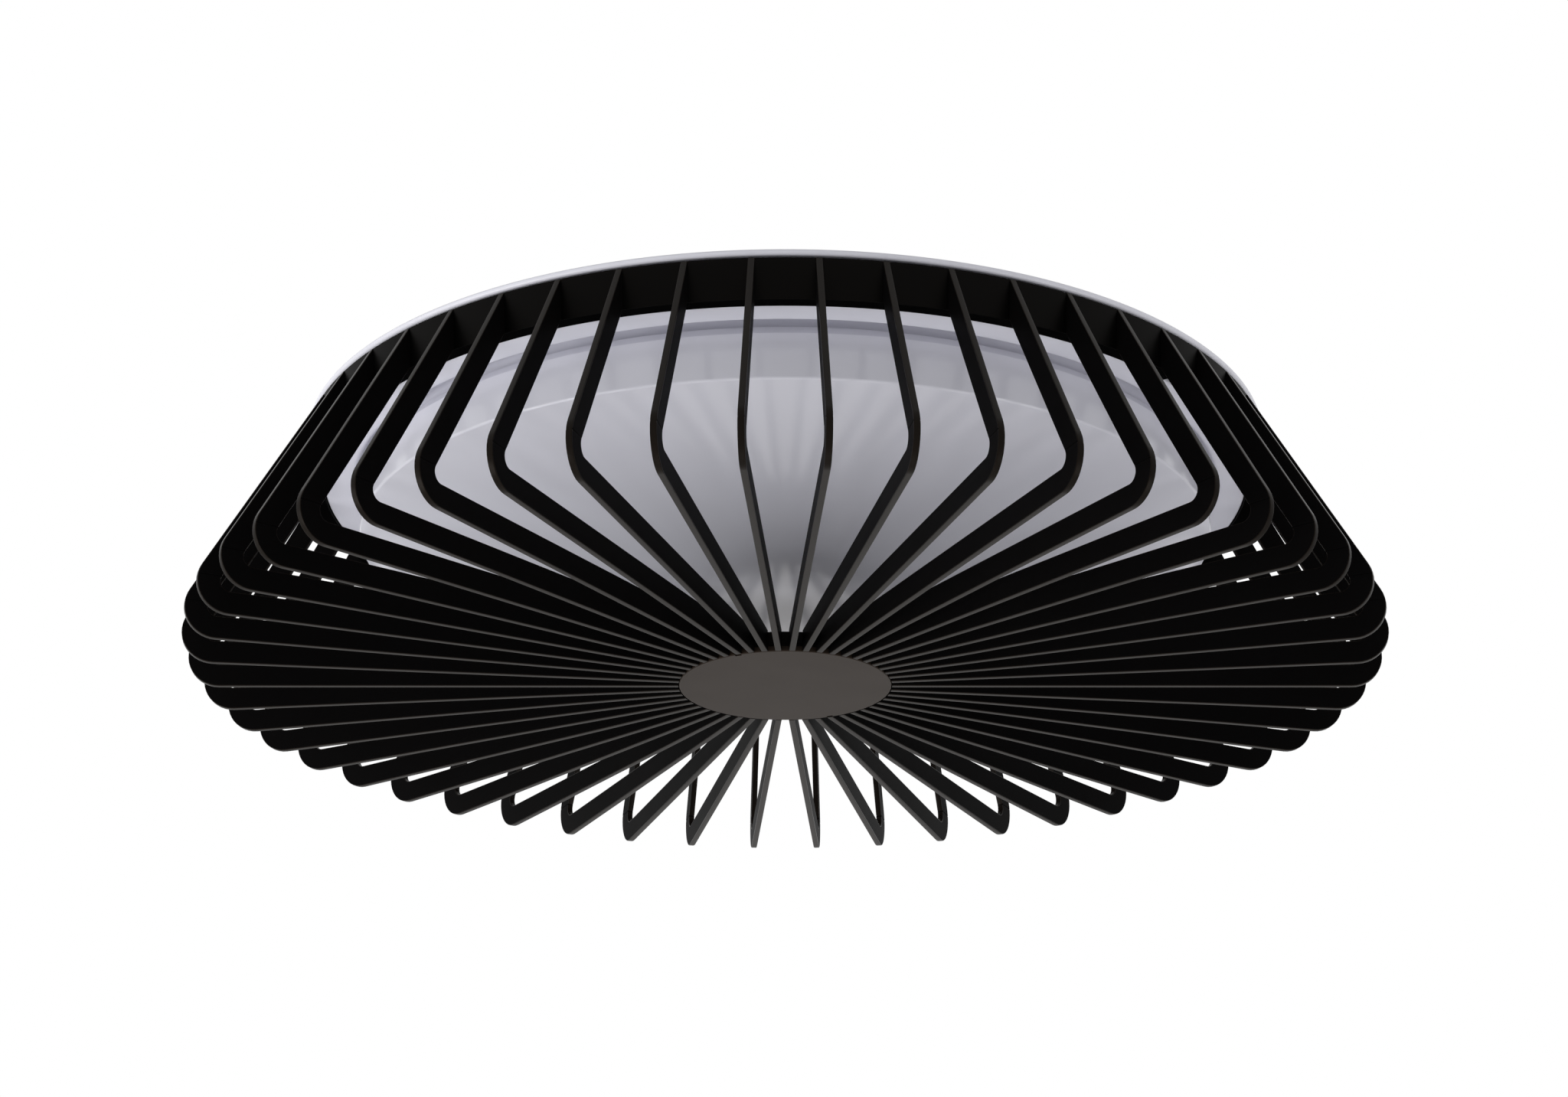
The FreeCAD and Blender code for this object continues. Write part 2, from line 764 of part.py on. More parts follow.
def make_led_board():
    """Board under the pan's floor, with its screw holes."""
    body = prism(board_corner_radius, board_sides, board_face, -pan_depth)
    opening_radius = board_inner / math.cos(math.pi / board_sides)
    cutters = floor_holes(board_screw_places, small_screw_radius + screw_hole_gap)
    cutters.append(prism(opening_radius, board_sides, board_face, -pan_depth))
    return body.cut(cutters)


def make_led_chips():
    """Square chips in rings on the underside of the board."""
    first = board_inner + chip_inner_inset
    step = (board_outer - chip_outer_inset - first) / (chip_ring_count - 1)
    chips = []
    for index in range(chip_ring_count):
        chip = block(chip_size, chip_size, board_face - chip_height, board_face, first + index * step)
        stagger = FULL_TURN / chips_per_ring / 2 * (index % 2)
        chips += around(chip, chips_per_ring, stagger)
    return chips


def save(name, shape):
    """Write one node; a list of solids becomes one node of separate pieces."""
    whole = Part.makeCompound(shape) if isinstance(shape, list) else shape
    whole.exportStep("parts/" + name + ".step")


os.makedirs("parts", exist_ok=True)
pan_screw_tip = pan_top + 2 * strap_thickness
pan_screw_sizes = (pan_screw_radius, pan_screw_head_radius, pan_screw_head)
save("ceiling_pan", make_ceiling_pan())
save("cage_clips", make_cage_clips())
save("cage_ring", make_cage_ring())
save("side_ribs", make_side_ribs())
save("floor_ribs", make_floor_ribs())
save("cage_hub", make_cage_hub())
save("hub_cap", make_hub_cap())
save("diffuser", make_diffuser())
save("diffuser_dome", make_diffuser_dome())
save("diffuser_clips", make_diffuser_clips())
save("mounting_bracket", make_mounting_bracket())
save("pan_screws", screws(pan_screw_places, *pan_screw_sizes, -pan_depth, pan_screw_tip))
save("driver_case", make_driver_case())
save("driver_cover", make_driver_cover())
save("driver_pad", make_driver_pad())
save("terminal_block", make_terminal_block())
save("terminal_screws", make_terminal_screws())
save("terminal_fixing_screw", small_screws([block_screw_place], pan_top + block_height, -pan_depth))
save("neutral_lead", make_supply_lead(pole_places[1]))
save("live_lead", make_supply_lead(pole_places[2]))
save("earth_lead", make_earth_lead())
save("earth_tag", make_earth_tag())
save("earth_screw", small_screws([earth_place], pan_top + tag_sheet, -pan_depth))
save("led_leads", make_led_leads())
save("lead_grommet", make_lead_grommet())
save("led_board", make_led_board())
save("led_chips", make_led_chips())
save("led_connector", make_led_connector())
save("board_screws", small_screws(board_screw_places, board_face, pan_top))
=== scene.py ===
"""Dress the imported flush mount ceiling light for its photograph.

An opal drum hangs under a white pan, inside a twist-on cage of fifty black ribs. Sizes are in
millimetres until a mesh is handed over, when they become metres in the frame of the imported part.
"""

import logging
import math
from dataclasses import dataclass, replace
from enum import Enum
from typing import Callable, Mapping, Sequence

import bmesh
import bpy
from bmesh.types import BMEdge, BMVert
from bpy.types import Material, Mesh, Node, NodeSocket, NodeTree, Object
from mathutils import Matrix, Vector


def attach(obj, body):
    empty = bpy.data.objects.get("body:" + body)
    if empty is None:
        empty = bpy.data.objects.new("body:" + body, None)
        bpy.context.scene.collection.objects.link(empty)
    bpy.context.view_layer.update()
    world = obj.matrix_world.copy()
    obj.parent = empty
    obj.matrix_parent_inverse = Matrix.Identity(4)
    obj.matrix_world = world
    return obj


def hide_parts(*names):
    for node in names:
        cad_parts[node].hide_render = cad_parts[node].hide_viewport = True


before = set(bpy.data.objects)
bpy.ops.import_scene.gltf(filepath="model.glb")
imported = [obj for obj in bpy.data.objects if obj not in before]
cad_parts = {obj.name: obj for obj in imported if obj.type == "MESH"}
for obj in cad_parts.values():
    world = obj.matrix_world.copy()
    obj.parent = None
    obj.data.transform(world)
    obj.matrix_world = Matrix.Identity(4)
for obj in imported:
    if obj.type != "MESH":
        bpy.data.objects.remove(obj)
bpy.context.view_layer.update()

LOG = logging.getLogger("ceiling_light")
MM = 0.001
FULL_TURN = 2 * math.pi
ORIGIN = (0.0, 0.0, 0.0)
UPWARDS = (0.0, 0.0, 1.0)
WHITE = (1.0, 1.0, 1.0, 1.0)
WELD_MM = 0.0005
MATCH_MM = 0.01
FACING_DOWN = -0.99
FLAT_SIDE = 0.99
MOSTLY_SIDEWAYS = 0.5
SHARP_ANGLE = math.radians(38)
FLAT_ANGLE = math.radians(2)
EDGE_ANGLE = math.radians(35)
PATCH_DETAIL = 3.0
GRIT_DETAIL = 2.0
CLIP_COUNT = 3
FIRST_CLIP = math.radians(90)
POLES = (52.0, 62.0, 72.0)

Corner = tuple[float, float]
Place = tuple[float, float, float]


class Body(Enum):
    """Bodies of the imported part."""

    BASE = "base"
    DIFFUSER = "diffuser"
    CAGE = "cage"


class Cut(Enum):
    """Ways of combining a piece with a cutter."""

    TAKE_AWAY = "DIFFERENCE"
    JOIN = "UNION"


class Drive(Enum):
    """Recesses in the heads of the screws, by the number of their strokes."""

    CROSS = 2
    SLOT = 1


def linear(hex_code: str) -> tuple[float, float, float, float]:
    """Turn an sRGB colour into linear light.

    Args:
        hex_code: Six hex digits.

    Returns:
        Red, green, blue and an alpha of one.
    """
    channels = []
    for start in (0, 2, 4):
        value = int(hex_code[start:start + 2], 16) / 255
        channels.append(value / 12.92 if value <= 0.04045 else ((value + 0.055) / 1.055) ** 2.4)
    return (channels[0], channels[1], channels[2], 1.0)


def add_node(
    tree: NodeTree, kind: str, inputs: Mapping[object, object] | None = None, **settings: object
) -> Node:
    """Add a shader node with its settings, values and links.

    Args:
        tree: Tree that takes the node.
        kind: Type of the node, without the prefix that all shader nodes have.
        inputs: Values or sockets by the name or number of the input.
        settings: Properties of the node by name.

    Returns:
        The new node.
    """
    node = tree.nodes.new("ShaderNode" + kind)
    for name, value in settings.items():
        setattr(node, name, value)
    for name, value in (inputs or {}).items():
        if isinstance(value, NodeSocket):
            tree.links.new(value, node.inputs[name])
        else:
            node.inputs[name].default_value = value
    return node


@dataclass(frozen=True)
class Finish:
    """A surface finish with soft patches of colour and a fine grit.

    Attributes:
        name: Common name of the material and how its surface was made; for the copies of the black ABS, the
            light or shade that each paints.
        colour: Main colour.
        shade: Colour of the patches.
        patch_mm: Size of the patches.
        roughness: Mean roughness.
        spread: How far the roughness strays from its mean.
        grit_mm: Size of the bumps.
        grit_depth_mm: Height of the bumps.
        metallic: One for a bare metal.
        ior: Index of refraction.
        specular: Strength of the mirror reflection, 0.5 being the plain one.
        tint: Colour of the mirror reflection.
        subsurface: Share of light that goes into the material and out again.
        subsurface_mm: How far that light goes.
    """

    name: str
    colour: str
    shade: str
    patch_mm: float = 12.0
    roughness: float = 0.38
    spread: float = 0.04
    grit_mm: float = 0.8
    grit_depth_mm: float = 0.01
    metallic: float = 0.0
    ior: float = 1.5
    specular: float = 0.5
    tint: str = "FFFFFF"
    subsurface: float = 0.0
    subsurface_mm: float = 1.0

    def material(self) -> Material:
        """Make the material, or find it where it is made already.

        Returns:
            The material.
        """
        made = bpy.data.materials.get(self.name)
        if made is not None:
            return made
        made = bpy.data.materials.new(self.name)
        made.use_nodes = True
        tree = made.node_tree
        tree.nodes.clear()
        place = add_node(tree, "TexCoord").outputs["Object"]
        soft = {"Vector": place, "Scale": 1 / (self.patch_mm * MM), "Detail": PATCH_DETAIL}
        patches = add_node(tree, "TexNoise", soft).outputs[0]
        # The grit of moulds and plating is too fine to show, so it is drawn as coarse as it needs to be seen
        fine = {"Vector": place, "Scale": 1 / (self.grit_mm * MM), "Detail": GRIT_DETAIL}
        grit = add_node(tree, "TexNoise", fine).outputs[0]
        mixed = {0: patches, 6: linear(self.colour), 7: linear(self.shade)}
        colour = add_node(tree, "Mix", mixed, data_type="RGBA")
        limits = {"To Min": self.roughness - self.spread, "To Max": self.roughness + self.spread}
        roughness = add_node(tree, "MapRange", {"Value": patches, **limits})
        bumps = {"Height": grit, "Distance": self.grit_depth_mm * MM, "Strength": 1.0}
        shader = add_node(
            tree,
            "BsdfPrincipled",
            {
                "Base Color": colour.outputs[2],
                "Roughness": roughness.outputs[0],
                "Normal": add_node(tree, "Bump", bumps).outputs[0],
                "Metallic": self.metallic,
                "IOR": self.ior,
                "Specular IOR Level": self.specular,
                "Specular Tint": linear(self.tint),
                "Subsurface Weight": self.subsurface,
                "Subsurface Scale": self.subsurface_mm * MM,
                "Subsurface Radius": (1.0, 1.0, 1.0),
            },
        )
        add_node(tree, "OutputMaterial", {"Surface": shader.outputs[0]})
        return made


# Moulded ABS, spark-eroded mould: near black, a warm satin sheen that shows only where light grazes it
BLACK_ABS = Finish(
    "moulded_black_abs", "040404", "030303", patch_mm=40.0, roughness=0.42, spread=0.03, grit_mm=0.6,
    specular=0.045, tint="FFF4EA",
)
# The same ABS on the flat sides of the ribs, with its reflection turned almost off and without tint: painted
# shade, darker than the narrow faces
SHADED_SIDE_ABS = replace(
    BLACK_ABS, name="black_abs_painted_shade_sides", colour="0E0D0D", shade="0B0A0A", roughness=0.5, specular=0.008,
    tint="FFFFFF",
)
# The same ABS on the narrow faces of the ribs: painted sheen in a lighter warm colour, with a sharper
# reflection that follows the light
SHEEN_EDGE_ABS = replace(
    BLACK_ABS, name="black_abs_painted_sheen_edges", colour="17130F", shade="130F0C", roughness=0.3, spread=0.02,
    grit_depth_mm=0.006, specular=0.058,
)
# The same ABS under the ring, rougher and with its reflection turned almost off: painted shade, dull and
# dark
SHADE_UNDER_ABS = replace(
    BLACK_ABS, name="black_abs_painted_shade_under", roughness=0.8, spread=0.04, grit_depth_mm=0.02, specular=0.008,
)
# The same ABS for the cap that faces the floor, a little glossier: its lighter warm grey is painted
# reflection of the bright floor
CAP_ABS = replace(
    BLACK_ABS, name="black_abs_painted_floor_reflection", colour="2B231D", shade="261F19", patch_mm=30.0,
    roughness=0.38, grit_depth_mm=0.008, specular=0.06, tint="FFF2E6",
)
# Opal acrylic, vacuum formed: milky and glossy, light sinks a little way in
OPAL = Finish(
    "vacuum_formed_opal", "ECECF5", "E8E8F2", patch_mm=90.0, roughness=0.16, spread=0.02, grit_mm=25.0,
    ior=1.49, subsurface=0.1, subsurface_mm=3.0,
)
# Powder coat on pressed steel: satin white with a faint orange peel
POWDER = Finish("white_powder_coat", "F3F3FB", "EFEFF8", patch_mm=60.0, roughness=0.32, grit_mm=1.6)
# Zinc plate, passivated: cool bright metal with cloudy patches
ZINC = Finish(
    "zinc_plated_steel", "BFC1C4", "A7A9AD", patch_mm=5.0, roughness=0.33, spread=0.08,
    grit_depth_mm=0.006, metallic=1.0,
)
# Plain brass, stamped
BRASS = Finish(
    "stamped_brass", "C9A558", "B38E45", patch_mm=3.0, roughness=0.3, spread=0.06, grit_mm=0.6,
    grit_depth_mm=0.006, metallic=1.0,
)
# Moulded polycarbonate of the driver's housing, matt white
DRIVER_WHITE = Finish(
    "moulded_white_polycarbonate", "E6E6E2", "DFDFDA", patch_mm=25.0, roughness=0.5, grit_mm=0.7,
    grit_depth_mm=0.02,
)
# Natural polyamide of the terminal block, waxy and slightly see-through
POLYAMIDE = Finish(
    "natural_polyamide", "E5E0D0", "DAD4C2", patch_mm=8.0, roughness=0.4, spread=0.05, subsurface=0.2,
    subsurface_mm=1.5,
)
# Closed-cell foam pad, dark grey with visible cells
FOAM = Finish(
    "closed_cell_foam", "3A3A3B", "2B2B2C", patch_mm=1.2, roughness=0.9, spread=0.05, grit_mm=0.9,
    grit_depth_mm=0.25,
)
# Soft vinyl insulation of the leads
BLUE_VINYL = Finish("blue_vinyl", "2A62B0", "2558A2")
BROWN_VINYL = Finish("brown_vinyl", "5E3822", "53301C")
GREEN_VINYL = Finish("green_vinyl", "3F8F35", "37822E")
YELLOW_VINYL = Finish("yellow_vinyl", "E3C92C", "D8BC25")
RED_VINYL = Finish("red_vinyl", "B3251F", "A61F1A")
DARK_VINYL = Finish("black_vinyl", "1C1C1D", "161617")
# Moulded rubber of the grommet
RUBBER = Finish(
    "moulded_rubber", "1D1D1D", "171717", patch_mm=4.0, roughness=0.65, spread=0.06, grit_mm=0.5,
    grit_depth_mm=0.02,
)
# White solder mask over an aluminium board
SOLDER_MASK = Finish(
    "white_solder_mask", "F0F0EE", "E8E8E5", patch_mm=6.0, roughness=0.35, spread=0.05, grit_mm=1.0,
)
# Phosphor over the light-emitting chips
PHOSPHOR = Finish(
    "yellow_phosphor", "E9D36A", "DFC65A", patch_mm=1.0, roughness=0.45, spread=0.05, grit_mm=0.4,
)
# Glossy nylon of the plug housing
NYLON = Finish("moulded_nylon", "EDECE6", "E5E4DD", patch_mm=5.0, roughness=0.3, grit_mm=0.7)


def near(first: float, second: float) -> bool:
    """Say whether two lengths match."""
    return abs(first - second) < MATCH_MM


def from_axis(point: Vector) -> float:
    """Return the distance of a point from the lamp's axis."""
    return math.hypot(point.x, point.y)


def sideways(point: Vector) -> float:
    """Return the X of a point."""
    return point.x


def pick(geometry: Sequence[object], kind: type) -> list[object]:
    """Return the elements of one kind among mixed geometry."""
    return [item for item in geometry if isinstance(item, kind)]


def smooth(mesh: Mesh) -> Mesh:
    """Shade a mesh smooth but for its sharp edges.

    Args:
        mesh: The mesh.

    Returns:
        The same mesh.
    """
    mesh.shade_smooth()
    mesh.set_sharp_from_angle(angle=SHARP_ANGLE)
    return mesh


class Shape:
    """A mesh in the making, in millimetres."""

    def __init__(self) -> None:
        """Start empty."""
        self.bm = bmesh.new()

    def everything(self) -> list[object]:
        """Return all vertices, edges and faces."""
        return self.bm.verts[:] + self.bm.edges[:] + self.bm.faces[:]

    def chain(self, corners: Sequence[Corner], start: BMVert | None = None) -> list[BMVert]:
        """Join section corners by edges in the plane of X and Z.

        Args:
            corners: Radius and height of each corner.
            start: Vertex that the chain goes on from.

        Returns:
            The vertices of the chain.
        """
        verts = [] if start is None else [start]
        verts += [self.bm.verts.new((r, 0.0, z)) for r, z in corners]
        for first, second in zip(verts, verts[1:]):
            self.bm.edges.new((first, second))
        return verts

    def loop(self, corners: Sequence[Corner]) -> list[BMVert]:
        """Join section corners by edges that close on themselves.

        Args:
            corners: Radius and height of each corner.

        Returns:
            The vertices of the loop.
        """
        verts = self.chain(corners)
        self.bm.edges.new((verts[-1], verts[0]))
        return verts

    def face(self, corners: Sequence[Corner]) -> None:
        """Fill a loop of section corners."""
        self.bm.faces.new(self.loop(corners))

    def arc(self, geometry: Sequence[object], centre: Corner, angle: float, steps: int) -> list[object]:
        """Spin part of a section about a centre in its plane, upwards from below the centre.

        Args:
            geometry: Vertices and edges that are spun.
            centre: Radius and height of the centre.
            angle: Angle of the arc.
            steps: Number of steps.

        Returns:
            The geometry at the end of the arc.
        """
        pivot = (centre[0], 0.0, centre[1])
        turned = bmesh.ops.spin(
            self.bm, geom=geometry, cent=pivot, axis=(0.0, -1.0, 0.0), angle=angle, steps=steps
        )
        return turned["geom_last"]

    def close(self) -> None:
        """Merge doubles and turn the faces outwards."""
        bmesh.ops.remove_doubles(self.bm, verts=self.bm.verts[:], dist=WELD_MM)
        bmesh.ops.recalc_face_normals(self.bm, faces=self.bm.faces[:])

    def revolve(self, steps: int, angle: float = FULL_TURN) -> None:
        """Spin everything about the lamp's axis.

        Args:
            steps: Number of steps.
            angle: Angle of the spin.
        """
        bmesh.ops.spin(
            self.bm,
            geom=self.everything(),
            cent=ORIGIN,
            axis=UPWARDS,
            angle=angle,
            steps=steps,
            use_merge=angle == FULL_TURN,
        )
        self.close()

    def repeat(self, count: int, first: float) -> None:
        """Copy everything evenly round the lamp's axis.

        Args:
            count: Number of copies in all.
            first: Angle of the first copy.
        """
        bmesh.ops.rotate(
            self.bm, verts=self.bm.verts[:], cent=ORIGIN, matrix=Matrix.Rotation(first, 3, "Z")
        )
        bmesh.ops.spin(
            self.bm,
            geom=self.everything(),
            cent=ORIGIN,
            axis=UPWARDS,
            angle=FULL_TURN * (count - 1) / count,
            steps=count - 1,
            use_duplicate=True,
        )

    def scatter(self, places: Sequence[Corner]) -> None:
        """Move everything to the first place and copies of it to the others.

        Args:
            places: X and Y of each copy.
        """
        original = self.everything()
        for x, y in places[1:]:
            copied = bmesh.ops.duplicate(self.bm, geom=original)["geom"]
            bmesh.ops.translate(self.bm, verts=pick(copied, BMVert), vec=(x, y, 0.0))
        bmesh.ops.translate(self.bm, verts=pick(original, BMVert), vec=(*places[0], 0.0))

    def thicken(self, thickness: float) -> None:
        """Pull a flat section out along Y, half to each side.

        Args:
            thickness: Thickness of the plate.
        """
        grown = bmesh.ops.extrude_face_region(self.bm, geom=self.bm.faces[:])["geom"]
        bmesh.ops.translate(self.bm, verts=pick(grown, BMVert), vec=(0.0, thickness, 0.0))
        bmesh.ops.translate(self.bm, verts=self.bm.verts[:], vec=(0.0, -thickness / 2, 0.0))
        self.close()

    def bevel(self, wanted: Callable[[BMEdge], bool], width: float, segments: int = 3) -> None:
        """Round some edges.

        Args:
            wanted: Says whether an edge is rounded.
            width: Width of the rounding.
            segments: Number of segments across it.
        """
        edges = [edge for edge in self.bm.edges if wanted(edge)]
        bmesh.ops.bevel(
            self.bm,
            geom=edges,
            offset=width,
            offset_type="OFFSET",
            affect="EDGES",
            segments=segments,
            profile=0.5,
            material=-1,
            clamp_overlap=True,
        )

    def round_corners(
        self,
        corners: Sequence[Corner],
        width: float,
        segments: int = 3,
        across: Callable[[Vector], float] = from_axis,
    ) -> None:
        """Round the edges that section corners have drawn.

        Args:
            corners: Radius and height of each circle, or X and height of each fold.
            width: Width of the rounding.
            segments: Number of segments across it.
            across: Measure that goes with the height: from the axis for circles, sideways for folds.
        """

        def wanted(edge: BMEdge) -> bool:
            """Say whether both ends of an edge lie on one of the corners."""
            return any(
                all(near(across(vert.co), place) and near(vert.co.z, z) for vert in edge.verts)
                for place, z in corners
            )

        self.bevel(wanted, width, segments)

    def cube(self, centre: Place, size: Place) -> None:
        """Add a box with its middle and its three lengths."""
        matrix = Matrix.Translation(centre) @ Matrix.Diagonal((*size, 1.0))
        bmesh.ops.create_cube(self.bm, size=1.0, matrix=matrix)

    def drum(self, centre: Place, radius: float, height: float, sides: int = 32) -> None:
        """Add an upright cylinder.

        Args:
            centre: Middle of the cylinder.
            radius: Its radius.
            height: Its height.
            sides: Number of its sides.
        """
        bmesh.ops.create_cone(
            self.bm,
            cap_ends=True,
            segments=sides,
            radius1=radius,
            radius2=radius,
            depth=height,
            matrix=Matrix.Translation(centre),
        )

    def stadium(self, centre: Place, length: float, width: float, height: float, sides: int = 30) -> None:
        """Add an upright cutter for a slot with round ends, along X.

        Args:
            centre: Middle of the slot.
            length: Length over the round ends.
            width: Width of the slot.
            height: Height of the cutter.
            sides: Number of sides of both ends.
        """
        before = set(self.bm.verts)
        self.drum(centre, width / 2, height, sides)
        reach = (length - width) / 2
        for vert in set(self.bm.verts) - before:
            vert.co.x += math.copysign(reach, vert.co.x - centre[0])

    def mesh(self, name: str) -> Mesh:
        """Hand over the mesh in metres, smooth but for its sharp edges.

        Args:
            name: Name of the mesh.

        Returns:
            The mesh.
        """
        self.bm.transform(Matrix.Scale(MM, 4))
        mesh = bpy.data.meshes.new(name)
        self.bm.to_mesh(mesh)
        self.bm.free()
        return smooth(mesh)


def ring_of_blocks(
    low: Corner, high: Corner, half: float, count: int, middle: float, steps: int = 6
) -> Shape:
    """Make curved blocks evenly round the lamp's axis.

    Args:
        low: Inner radius and lower height of the blocks.
        high: Outer radius and upper height.
        half: Half the angle that a block spans.
        count: Number of blocks.
        middle: Angle of the middle of the first block.
        steps: Number of steps along a block.

    Returns:
        The blocks.
    """
    shape = Shape()
    shape.face([low, (high[0], low[1]), high, (low[0], high[1])])
    shape.revolve(steps, 2 * half)
    shape.repeat(count, middle - half)
    return shape


def baked_mesh(thing: Object) -> Mesh:
    """Return a copy of what an object shows, with its modifiers applied."""
    graph = bpy.context.evaluated_depsgraph_get()
    return bpy.data.meshes.new_from_object(thing.evaluated_get(graph))


def new_object(name: str, data: bpy.types.ID) -> Object:
    """Put data into the scene at the origin.

    Args:
        name: Name of the object.
        data: Its mesh, curve, lamp or camera.

    Returns:
        The object.
    """
    thing = bpy.data.objects.new(name, data)
    bpy.context.scene.collection.objects.link(thing)
    return thing


def combine(thing: Object, cutter: Shape, how: Cut) -> None:
    """Cut a shape out of a piece, or join it on.

    Args:
        thing: The piece.
        cutter: The shape, which is used up.
        how: Whether it is cut out or joined on.
    """
    cutter.close()
    tool = new_object("tool", cutter.mesh("tool"))
    step = thing.modifiers.new("combine", "BOOLEAN")
    step.object = tool
    step.operation = how.value
    step.solver = "EXACT"
    mesh = baked_mesh(thing)
    thing.modifiers.clear()
    thing.data = smooth(mesh)
    bpy.data.objects.remove(tool)


def dress(thing: Object, finishes: Sequence[Finish], body: Body, nodes: Sequence[str]) -> None:
    """Give a new piece its finish, its body and the nodes that it stands for.

    Args:
        thing: The piece.
        finishes: Its finishes, in the order of its material numbers.
        body: Body that it rides on.
        nodes: Nodes that it stands for.
    """
    polygons = thing.data.polygons
    numbers = [polygon.material_index for polygon in polygons]
    thing.data.materials.clear()
    for finish in finishes:
        thing.data.materials.append(finish.material())
    polygons.foreach_set("material_index", numbers)
    shading = thing.modifiers.new("even_shading", "WEIGHTED_NORMAL")
    shading.keep_sharp = True
    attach(thing, body.value)
    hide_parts(*nodes)
    LOG.info("%s stands for %s on %s", thing.name, ", ".join(nodes), body.value)


@dataclass(frozen=True)
class Cage:
    """The black cage: a ring, fifty ribs in two mouldings parted at a seam, a hub and its cap."""

    rim_radius: float = 217.2
    ring_top: float = -3.8
    ring_bottom: float = -21.7
    ring_wall: float = 3.0
    ring_flange: float = 2.4
    ring_bore: float = 209.3
    ring_round: float = 0.2
    ring_steps: int = 250
    reach: float = 267.5
    floor_z: float = -111.0
    rib_count: int = 50
    rib_thickness: float = 2.8
    rib_depth: float = 10.0
    rib_round: float = 0.4
    inner_bend: float = 4.4
    bend_steps: int = 14
    hub_radius: float = 47.8
    hub_wall: float = 2.4
    hub_plate: float = 2.4
    hub_step: float = 1.0
    hub_round: float = 0.3
    hub_steps: int = 100
    cap_radius: float = 47.5
    cap_thickness: float = 2.4
    cap_round: float = 0.5
    cap_steps: int = 120
    lug_reach: float = 210.4
    lug_bottom: float = -8.4
    lug_height: float = 3.0
    lug_half: float = 0.0431
    notch_reach: float = 212.3
    notch_half: float = 0.0598
    notch_below: float = 1.0
    notch_above: float = 0.5
    notch_steps: int = 8
    cage_turn: float = 7.2
    leg_count: int = 4
    leg_outer: float = 45.1
    leg_wall: float = 1.5
    leg_half: float = 0.155
    leg_gap: float = 0.3
    prise_count: int = 2
    prise_angle: float = 64.0
    prise_width: float = 3.0
    prise_depth: float = 1.6

    @property
    def bend_radius(self) -> float:
        """Outer radius of the bend."""
        return self.inner_bend + self.rib_depth

    @property
    def bend(self) -> Corner:
        """Centre of the bend."""
        return self.reach - self.bend_radius, self.floor_z + self.bend_radius

    @property
    def lean(self) -> float:
        """Angle of the sloping ribs from upright, which makes their outer edge tangent to the bend."""
        run, rise = self.bend[0] - self.rim_radius, self.ring_top - self.bend[1]
        return math.atan2(run, rise) + math.asin(self.bend_radius / math.hypot(run, rise))

    @property
    def seam_z(self) -> float:
        """Height of the seam between the two mouldings."""
        return self.bend[1] + self.inner_bend * math.sin(self.lean)

    @property
    def ring_foot(self) -> float:
        """Radius of the ring's outside at its lower edge."""
        seam_r = self.bend[0] + self.inner_bend * math.cos(self.lean)
        return seam_r - (self.ring_bottom - self.seam_z) * math.tan(self.lean)

    def rib(self) -> Shape:
        """Draw one rib as a flat strip from the hub, round the bend and up to the ring.

        Returns:
            The strip.
        """
        shape = Shape()
        floor_top = self.floor_z + self.rib_depth
        ends = shape.chain([(self.hub_radius, floor_top), (self.hub_radius, self.floor_z)])
        run = bmesh.ops.extrude_edge_only(shape.bm, edges=[ends[0].link_edges[0]])["geom"]
        heel = pick(run, BMVert)
        bmesh.ops.translate(shape.bm, verts=heel, vec=(self.bend[0] - self.hub_radius, 0.0, 0.0))
        edge = [item for item in pick(run, BMEdge) if set(item.verts) == set(heel)]
        last = shape.arc(heel + edge, self.bend, math.pi / 2 + self.lean, self.bend_steps)
        rise = bmesh.ops.extrude_edge_only(shape.bm, edges=pick(last, BMEdge))["geom"]
        inner, outer = sorted(pick(rise, BMVert), key=lambda vert: vert.co.x)
        inner.co = (self.ring_foot, 0.0, self.ring_bottom)
        outer.co = (self.rim_radius, 0.0, self.ring_top)
        return shape

    def ribs(self, above_seam: bool) -> Shape:
        """Cut the ribs at the seam, thicken them, round their edges and repeat them.

        Args:
            above_seam: True for the sloping ribs, false for those of the floor.

        Returns:
            All ribs of one moulding, with the first finish, of painted shade, on flat sides and the second,
            of painted sheen, elsewhere.
        """
        shape = self.rib()
        bmesh.ops.bisect_plane(
            shape.bm,
            geom=shape.everything(),
            dist=WELD_MM,
            plane_co=(0.0, 0.0, self.seam_z),
            plane_no=UPWARDS,
            clear_outer=not above_seam,
            clear_inner=above_seam,
        )
        shape.thicken(self.rib_thickness)

        def rooted(vert: BMVert) -> bool:
            """Say whether a vertex lies on the hub or the ring."""
            return near(vert.co.x, self.hub_radius) or vert.co.z > self.ring_bottom - MATCH_MM

        def wanted(edge: BMEdge) -> bool:
            """Say whether an edge is rounded.

            Args:
                edge: An edge of the rib.

            Returns:
                True between a flat side and the rim of the rib, away from its root.
            """
            flats = [abs(face.normal.y) > MOSTLY_SIDEWAYS for face in edge.link_faces]
            at_rim = len(flats) == 2 and flats[0] != flats[1]
            return at_rim and not all(rooted(vert) for vert in edge.verts)

        shape.bevel(wanted, self.rib_round, segments=2)
        shape.bm.normal_update()
        # Painted light: the narrow faces take the copy with painted sheen, the flat sides and the seam the
        # copy with painted shade
        for face in shape.bm.faces:
            at_seam = all(abs(vert.co.z - self.seam_z) < 2 * self.rib_round for vert in face.verts)
            face.material_index = int(abs(face.normal.y) < FLAT_SIDE and not at_seam)
        shape.repeat(self.rib_count, math.pi / self.rib_count - math.pi / 2)
        return shape

